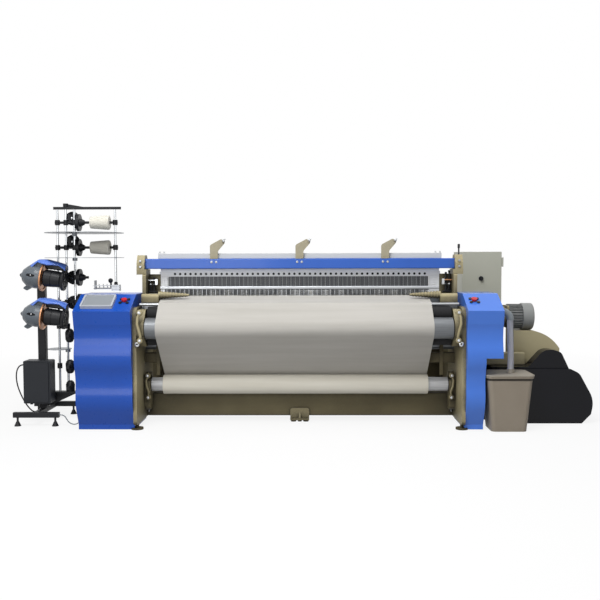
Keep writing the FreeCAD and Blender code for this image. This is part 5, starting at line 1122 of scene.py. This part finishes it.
# ---------------------------------------------------------------------------------------
# Weft stand
# ---------------------------------------------------------------------------------------
@dataclass
class Feeder:
    """One weft feeder: its blue cap, its dark arm, its window and its brush.

    Places run along the feeder's own axis towards the loom, then across it and then up
    from it. A cap station is (along, top, half width), an arm station (along, low, high,
    half width), a window ring (lift, part of the full size) and a bristle its two ends as
    (along, radius). cap_drop is how far the cap's sides hang, and how much that varies.
    """

    name: str
    height: float
    x: float = -1.905
    y: float = -0.110
    lean: float = math.radians(7)
    cap_stations: tuple[Point, ...] = (
        (-0.152, 0.076, 0.034), (-0.130, 0.094, 0.042), (-0.105, 0.114, 0.050),
        (-0.080, 0.132, 0.056), (-0.045, 0.1365, 0.058), (-0.007, 0.1385, 0.060),
        (0.035, 0.1325, 0.058), (0.080, 0.1255, 0.056), (0.115, 0.119, 0.052),
        (0.131, 0.112, 0.044))
    cap_over: float = 0.004
    cap_under: float = 0.001
    cap_wall: float = 0.004
    cap_drop: tuple[float, float] = (0.030, 0.010)
    cap_turn: float = 88
    cap_steps: int = 14
    arm_stations: tuple[Point, ...] = (
        (-0.027, 0.074, 0.112, 0.022), (-0.012, 0.070, 0.128, 0.030),
        (0.050, 0.070, 0.126, 0.032), (0.100, 0.070, 0.118, 0.030),
        (0.124, 0.078, 0.108, 0.022))
    arm_corner: float = 0.008
    arm_flat: float = 0.7
    sensors: tuple[float, ...] = (0.012, 0.040, 0.068, 0.096)
    sensor_up: float = 0.085
    sensor_form: Outline = ((0, 0.005), (0.016, 0.005), (0.018, 0.003))
    window_at: tuple[float, float] = (-0.112, 0.012)
    window_half: tuple[float, float] = (0.034, 0.0115)
    window_rings: Outline = ((-0.004, 1.0), (0.0015, 1.0), (0.0025, 0.88))
    window_steps: int = 40
    housing_radius: float = 0.0855
    housing_flare: float = 0.11
    lens_at: Point = (-0.110, -0.0868, 0.013)
    lens_form: Outline = ((0, 0.0045), (0.0015, 0.0045), (0.0025, 0.003))
    button_at: float = -0.212
    button_form: Outline = ((-0.004, 0.0105), (0.003, 0.0105), (0.006, 0.007))
    brush_at: float = 0.1095
    brush_form: Outline = ((0, 0.0575), (0, 0.080), (0.003, 0.0815), (0.017, 0.0815),
                           (0.020, 0.079), (0.020, 0.0575), (0, 0.0575))
    bristles: int = 72
    bristle: Outline = ((0.127, 0.062), (0.131, 0.048))
    bristle_radius: float = 0.0009
    dish_at: float = 0.128
    dish_form: Outline = ((0, 0.008), (0.004, 0.030), (0.001, 0.054))

    def at(self, along: float, side: float, up: float) -> Vector:
        """A point given by the feeder's own axes."""
        c, s = math.cos(self.lean), math.sin(self.lean)
        return Vector((self.x + along * c + up * s, self.y + side,
                       self.height - along * s + up * c))

    def way(self, along: float, up: float = 0) -> Vector:
        """A direction given by the feeder's own axes."""
        return self.at(along, 0, up) - self.at(0, 0, 0)

    def cap_line(self, along: float, top: float, half: float, drop: float,
                 turn: float) -> list[Vector]:
        """One line of points over the cap, from edge to edge.

        Args:
            along: The station on the feeder's axis.
            top: How high the line's middle is.
            half: How far it reaches to each side.
            drop: How far its sides hang below its middle.
            turn: The angle from its middle to the edge where it ends, in degrees.

        Returns:
            The points.
        """
        steps = self.cap_steps
        return [self.at(along, half * math.sin(a), top - drop * (1 - math.cos(a)))
                for a in [math.radians(2 * turn * i / steps - turn) for i in range(steps + 1)]]

    def build_cap(self) -> None:
        """Lay the moulded cap over the feeder's back, wavy along its lower edge."""
        rings = []
        deep, wave = self.cap_drop
        for k, (along, top, half) in enumerate(self.cap_stations):
            drop = deep + wave * math.sin(k * 1.6)
            rings.append(
                self.cap_line(along, top + self.cap_over, half, drop, self.cap_turn)
                + self.cap_line(along, top - self.cap_under, half - self.cap_wall, drop,
                                -self.cap_turn))
        Shape().loft(rings).piece(f"{self.name}_cap", CAP_BLUE, slot="blue_enamel")

    def build_arm(self) -> None:
        """Make the dark arm under the cap, with its yarn sensor over the drum."""
        shape = Shape()
        rings = []
        flat, corner = self.arm_flat, self.arm_corner
        for along, low, high, half in self.arm_stations:
            rings.append([self.at(along, side * half, up) for side, up in (
                (-1, low + corner), (-flat, low), (flat, low), (1, low + corner),
                (1, high - corner), (flat, high), (-flat, high), (-1, high - corner))])
        shape.loft(rings)
        for along in self.sensors:
            shape.lathe(self.sensor_form, self.at(along, 0, self.sensor_up), self.way(0, -1), 12)
        shape.piece(f"{self.name}_arm", BLACK_PLASTIC, slot="black_plastic")

    def build_window(self) -> None:
        """Set the dark window in the housing's side and the button on its nose."""
        rings = []
        middle, rise = self.window_at
        long, tall = self.window_half
        for lift, part in self.window_rings:
            ring = []
            for k in range(self.window_steps):
                a = math.tau * k / self.window_steps
                along = middle + long * part * math.cos(a)
                up = rise + tall * part * math.sin(a)
                reach = self.housing_radius + self.housing_flare * (along - middle) + lift
                ring.append(self.at(along, -math.sqrt(reach ** 2 - up ** 2), up))
            rings.append(ring)
        shape = Shape().loft(rings)
        Shape().lathe(self.lens_form, self.at(*self.lens_at), (0, -1, 0.06), 20).piece(
            f"{self.name}_lens", BRIGHT, slot="steel")
        shape.lathe(self.button_form, self.at(self.button_at, 0, 0), self.way(-1), 24)
        shape.piece(f"{self.name}_window", BLACK_GLOSS, slot="black_plastic")

    def build_brush(self) -> None:
        """Set the black brush ring round the drum's end, its bristles and its dish."""
        way = self.way(1)
        shape = Shape().lathe(self.brush_form, self.at(self.brush_at, 0, 0), way, 48, False)
        for k in range(self.bristles):
            a = math.tau * k / self.bristles
            spoke = [self.at(along, r * math.cos(a), r * math.sin(a))
                     for along, r in self.bristle]
            shape.sweep(spoke, self.bristle_radius, 4)
        shape.lathe(self.dish_form, self.at(self.dish_at, 0, 0), way, 40, False)
        shape.piece(f"{self.name}_brush", BLACK_PLASTIC, slot="black_plastic")


@dataclass
class Creel:
    """The yarn packages on the creel, and its tensioners.

    clamp_z is how far a clamp reaches below and above its disc's middle.
    """

    small: float = 0.046
    big: float = 0.058
    end_x: float = -1.467
    long: float = 0.152
    y: float = 0.040
    heights: tuple[float, float] = (1.544, 1.351)
    core_form: Outline = ((0.0, 0.0105), (0.0, 0.0185), (0.006, 0.0185), (0.007, 0.0105))
    low_x: float = -1.795
    low_heights: tuple[float, ...] = (0.668, 0.425, 0.262)
    low_form: Outline = ((-0.056, 0.012), (-0.050, 0.024), (-0.030, 0.033), (0.020, 0.035),
                         (0.040, 0.028), (0.052, 0.014))
    knob_out: float = 0.030
    knob_form: Outline = ((0, 0.016), (0.030, 0.016), (0.034, 0.012))
    disc_heights: tuple[float, ...] = (1.578, 1.398, 1.117, 0.921)
    disc_x: float = -1.772
    disc_y: float = 0.112
    disc_form: Outline = ((0, 0.030), (0.004, 0.048), (0.016, 0.055), (0.034, 0.052),
                          (0.044, 0.034), (0.050, 0.018))
    clamp_x: tuple[float, float] = (-1.806, -1.774)
    clamp_y: tuple[float, float] = (0.050, 0.090)
    clamp_z: tuple[float, float] = (0.040, 0.036)
    hub_y: float = 0.063
    hub_form: Outline = ((0, 0.011), (0.004, 0.011), (0.006, 0.008))
    pairs_x: tuple[float, ...] = (-1.560, -1.528, -1.498)
    pairs_z: float = 1.052
    pair_way: Point = (1, 0.3, 0.2)
    pair_form: Outline = ((0, 0.006), (0.002, 0.016), (0.004, 0.017), (0.006, 0.016),
                          (0.008, 0.006))
    grip: Point = (-1.464, 0.024, 1.088)
    grip_way: Point = (0.1, -0.4, 0.2)
    grip_form: Outline = ((0, 0.010), (0.006, 0.017), (0.020, 0.018), (0.030, 0.009))
    lever: tuple[Point, Point] = ((-1.470, 0.030, 1.040), (-1.458, 0.042, 1.090))
    guide: Point = (-1.424, 0.030, 1.036)
    guide_form: Outline = ((0, 0.014), (0.044, 0.014), (0.048, 0.010))

    def build_low_gear(self) -> None:
        """Hang the tensioners on the second post: long bodies low, round ones high."""
        shape, hubs = Shape(), Shape()
        for z in self.low_heights:
            shape.lathe(self.low_form, (self.low_x, self.y, z), (0, 0, 1), 32)
            shape.lathe(self.knob_form, (self.low_x, self.y - self.knob_out, z), (0, -1, 0), 20)
        for z in self.disc_heights:
            shape.lathe(self.disc_form, (self.disc_x, self.disc_y, z), (0, -1, 0), 40)
            shape.box((self.clamp_x[0], self.clamp_y[0], z - self.clamp_z[0]),
                      (self.clamp_x[1], self.clamp_y[1], z + self.clamp_z[1]), 0.006)
            hubs.lathe(self.hub_form, (self.disc_x, self.hub_y, z), (0, -1, 0), 20)
        shape.piece("creel_tensioners", BLACK_PLASTIC, slot="black_plastic")
        hubs.piece("tensioner_hubs", STEEL, slot="steel")

    def build_tension_discs(self) -> None:
        """Set the disc pairs and the lever of the weft tensioner on its bar."""
        discs, lever = Shape(), Shape()
        for x in self.pairs_x:
            discs.lathe(self.pair_form, (x, self.y, self.pairs_z), self.pair_way, 24)
        lever.lathe(self.grip_form, self.grip, self.grip_way, 20)
        lever.box(*self.lever, 0.002)
        lever.lathe(self.guide_form, self.guide, (0, 0, 1), 20)
        discs.piece("tension_discs", BRIGHT, slot="steel")
        lever.piece("tension_lever", BLACK_PLASTIC, slot="black_plastic")

    def build_cones(self) -> None:
        """Make both cones with rounded shoulders and their paper cores."""
        shape, cores = Shape(), Shape()
        small, big = self.small, self.big
        wound = ((0.004, 0.020), (0.0015, 0.028), (0.0005, small - 0.008),
                 (0.003, small - 0.001), (0.010, small + 0.0006), (0.075, (small + big) / 2),
                 (0.140, big - 0.0012), (0.148, big - 0.004), (0.1515, big - 0.012),
                 (0.150, 0.030), (0.149, 0.020))
        for z in self.heights:
            origin = (self.end_x - self.long, self.y, z)
            shape.lathe(wound, origin, (1, 0, 0), 64)
            cores.lathe(self.core_form, origin, (1, 0, 0), 32, False)
        cones = shape.piece("wound_cones", CONE, slot="cloth")
        cores.piece("cone_cores", GREY_PLASTIC, slot="grey_plastic")
        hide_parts("yarn_cones")


# ---------------------------------------------------------------------------------------
# Studio
# ---------------------------------------------------------------------------------------
@dataclass
class Studio:
    """The floor, the light and the camera."""

    eye: tuple[float, float, float] = (0.0890, -6.3513, 1.2709)
    pitch: float = 0.0517
    yaw: float = 0.0133
    roll: float = -0.0026
    focal_px: float = 824.85
    frame_px: float = 600.0
    sensor: float = 36
    clip_end: float = 200
    surround: float = 0.27
    floor_half: float = 30
    floor_drop: float = 0.0005
    floor_tones: tuple[float, float] = (0.86, 0.8)
    floor_clouds: float = 0.1
    floor_bounce: float = 0.4
    floor_glow: float = 0.86
    fade: tuple[float, float] = (2.4, 6.0)
    lamps: tuple[tuple[str, Point, Point, float, float], ...] = field(default_factory=lambda: (
        ("key", (-1.2, -3.6, 5.6), (0, -0.2, 0.6), 2.6, 250.0),
        ("fill", (-2.0, -6.0, 2.0), (-0.3, 0, 0.7), 3.0, 95.0),
        ("top", (0.4, -0.8, 5.4), (0, 0.0, 0.5), 4.0, 80.0),
        ("back", (0, 5.0, 3.6), (0, 0.8, 0.8), 4.0, 60.0),
    ))

    def build_floor(self) -> None:
        """Lay a pale floor that keeps the shadow near the object and fades to white."""
        shader = Shader("studio_floor")
        tree = shader.tree
        white = shader.node("Emission")
        white.inputs["Color"].default_value = grey(1)
        paper = shader.node("BsdfDiffuse")
        cloud = shader.noise(0.9, 2)
        rays = shader.node("LightPath")
        seen = shader.math("MAXIMUM", rays.outputs["Is Camera Ray"],
                           rays.outputs["Is Transmission Ray"])
        seen = shader.math("MAXIMUM", seen, rays.outputs["Is Glossy Ray"])
        sheet = shader.mix(shader.math("MULTIPLY", cloud, self.floor_clouds),
                           *[grey(tone) for tone in self.floor_tones])
        shader.feed(paper.inputs["Color"], shader.mix(seen, grey(self.floor_bounce), sheet))
        far = shader.node("VectorMath", operation="LENGTH")
        shader.feed(far.inputs[0], shader.place)
        part = shader.math("MULTIPLY", shader.ramp(far.outputs["Value"], *self.fade),
                           1 - self.floor_glow)
        glow = shader.math("MULTIPLY", seen, shader.math("ADD", part, self.floor_glow))
        blend = shader.node("MixShader")
        shader.feed(blend.inputs[0], glow)
        tree.links.new(paper.outputs[0], blend.inputs[1])
        tree.links.new(white.outputs[0], blend.inputs[2])
        tree.links.new(blend.outputs[0], tree.nodes["Material Output"].inputs["Surface"])
        tree.nodes.remove(shader.surface)
        mesh = bmesh.new()
        bmesh.ops.create_grid(mesh, x_segments=8, y_segments=8, size=self.floor_half)
        data = bpy.data.meshes.new("floor")
        mesh.to_mesh(data)
        mesh.free()
        data.materials.append(shader.material)
        item = bpy.data.objects.new("floor", data)
        item.location = (0, 0, -self.floor_drop)
        bpy.context.scene.collection.objects.link(item)

    def build_world(self) -> None:
        """Give a white surround to the eye and a soft even light to the object."""
        world = bpy.data.worlds.new("surround")
        bpy.context.scene.world = world
        world.use_nodes = True
        tree = world.node_tree
        rays = tree.nodes.new("ShaderNodeLightPath")
        either = tree.nodes.new("ShaderNodeMath")
        either.operation = "MAXIMUM"
        tree.links.new(rays.outputs["Is Camera Ray"], either.inputs[0])
        tree.links.new(rays.outputs["Is Transmission Ray"], either.inputs[1])
        seen = tree.nodes.new("ShaderNodeMath")
        seen.operation = "MAXIMUM"
        tree.links.new(either.outputs[0], seen.inputs[0])
        tree.links.new(rays.outputs["Is Glossy Ray"], seen.inputs[1])
        level = tree.nodes.new("ShaderNodeMapRange")
        tree.links.new(seen.outputs[0], level.inputs["Value"])
        level.inputs["To Min"].default_value = self.surround
        level.inputs["To Max"].default_value = 1.0
        background = tree.nodes["Background"]
        background.inputs["Color"].default_value = grey(1)
        tree.links.new(level.outputs[0], background.inputs["Strength"])

    def build_lamps(self) -> None:
        """Hang the soft lamps."""
        for name, place, target, size, power in self.lamps:
            lamp = bpy.data.lights.new(name, "AREA")
            lamp.size = size
            lamp.energy = power
            item = bpy.data.objects.new(name, lamp)
            item.location = place
            way = Vector(target) - Vector(place)
            item.rotation_euler = way.to_track_quat("-Z", "Y").to_euler()
            bpy.context.scene.collection.objects.link(item)

    def build_camera(self) -> None:
        """Stand the camera where the photograph was taken from."""
        p, y, r = self.pitch, self.yaw, self.roll
        ahead = Vector((-math.sin(y) * math.cos(p), math.cos(y) * math.cos(p), -math.sin(p)))
        right = Vector((math.cos(y), math.sin(y), 0))
        over = right.cross(ahead)
        side = right * math.cos(r) + over * math.sin(r)
        top = over * math.cos(r) - right * math.sin(r)
        place = Matrix((side, top, -ahead)).transposed().to_4x4()
        place.translation = self.eye
        lens = bpy.data.cameras.new("camera")
        lens.sensor_fit = "HORIZONTAL"
        lens.sensor_width = self.sensor
        lens.lens = self.focal_px / self.frame_px * self.sensor
        lens.clip_end = self.clip_end
        item = bpy.data.objects.new("camera", lens)
        item.matrix_world = place
        bpy.context.scene.collection.objects.link(item)
        bpy.context.scene.camera = item


FEEDER_HEIGHTS = {"upper_feeder": 1.117, "lower_feeder": 0.824}


def main() -> None:
    """Build the looks of the loom, piece by piece."""
    logging.basicConfig(level=logging.INFO, format="%(message)s")
    bpy.context.scene.view_settings.view_transform = "Standard"
    studio = Studio()
    studio.build_world()
    studio.build_floor()
    studio.build_lamps()
    studio.build_camera()
    for node, finish in NODE_FINISHES.items():
        dress(node, finish)
    for route in (BOX_CABLE, LINK_CABLE, WASTE_HOSE):
        route.build()
    cloth = ClothRun()
    cloth.build_cloth()
    cloth.build_roll()
    shed = Shed()
    shed.build_ends()
    shed.build_warp_roll()
    shed.build_healds()
    shed.build_reed()
    shed.build_drop_wires()
    fittings = MachineFrame()
    fittings.build_bolts()
    fittings.build_stop_pin()
    fittings.build_window_plates()
    fittings.build_jet_gear()
    fittings.build_levers()
    for name, height in FEEDER_HEIGHTS.items():
        feeder = Feeder(name, height)
        feeder.build_cap()
        feeder.build_arm()
        feeder.build_window()
        feeder.build_brush()
    creel = Creel()
    creel.build_cones()
    creel.build_low_gear()
    creel.build_tension_discs()


if __name__ == "__main__":
    main()
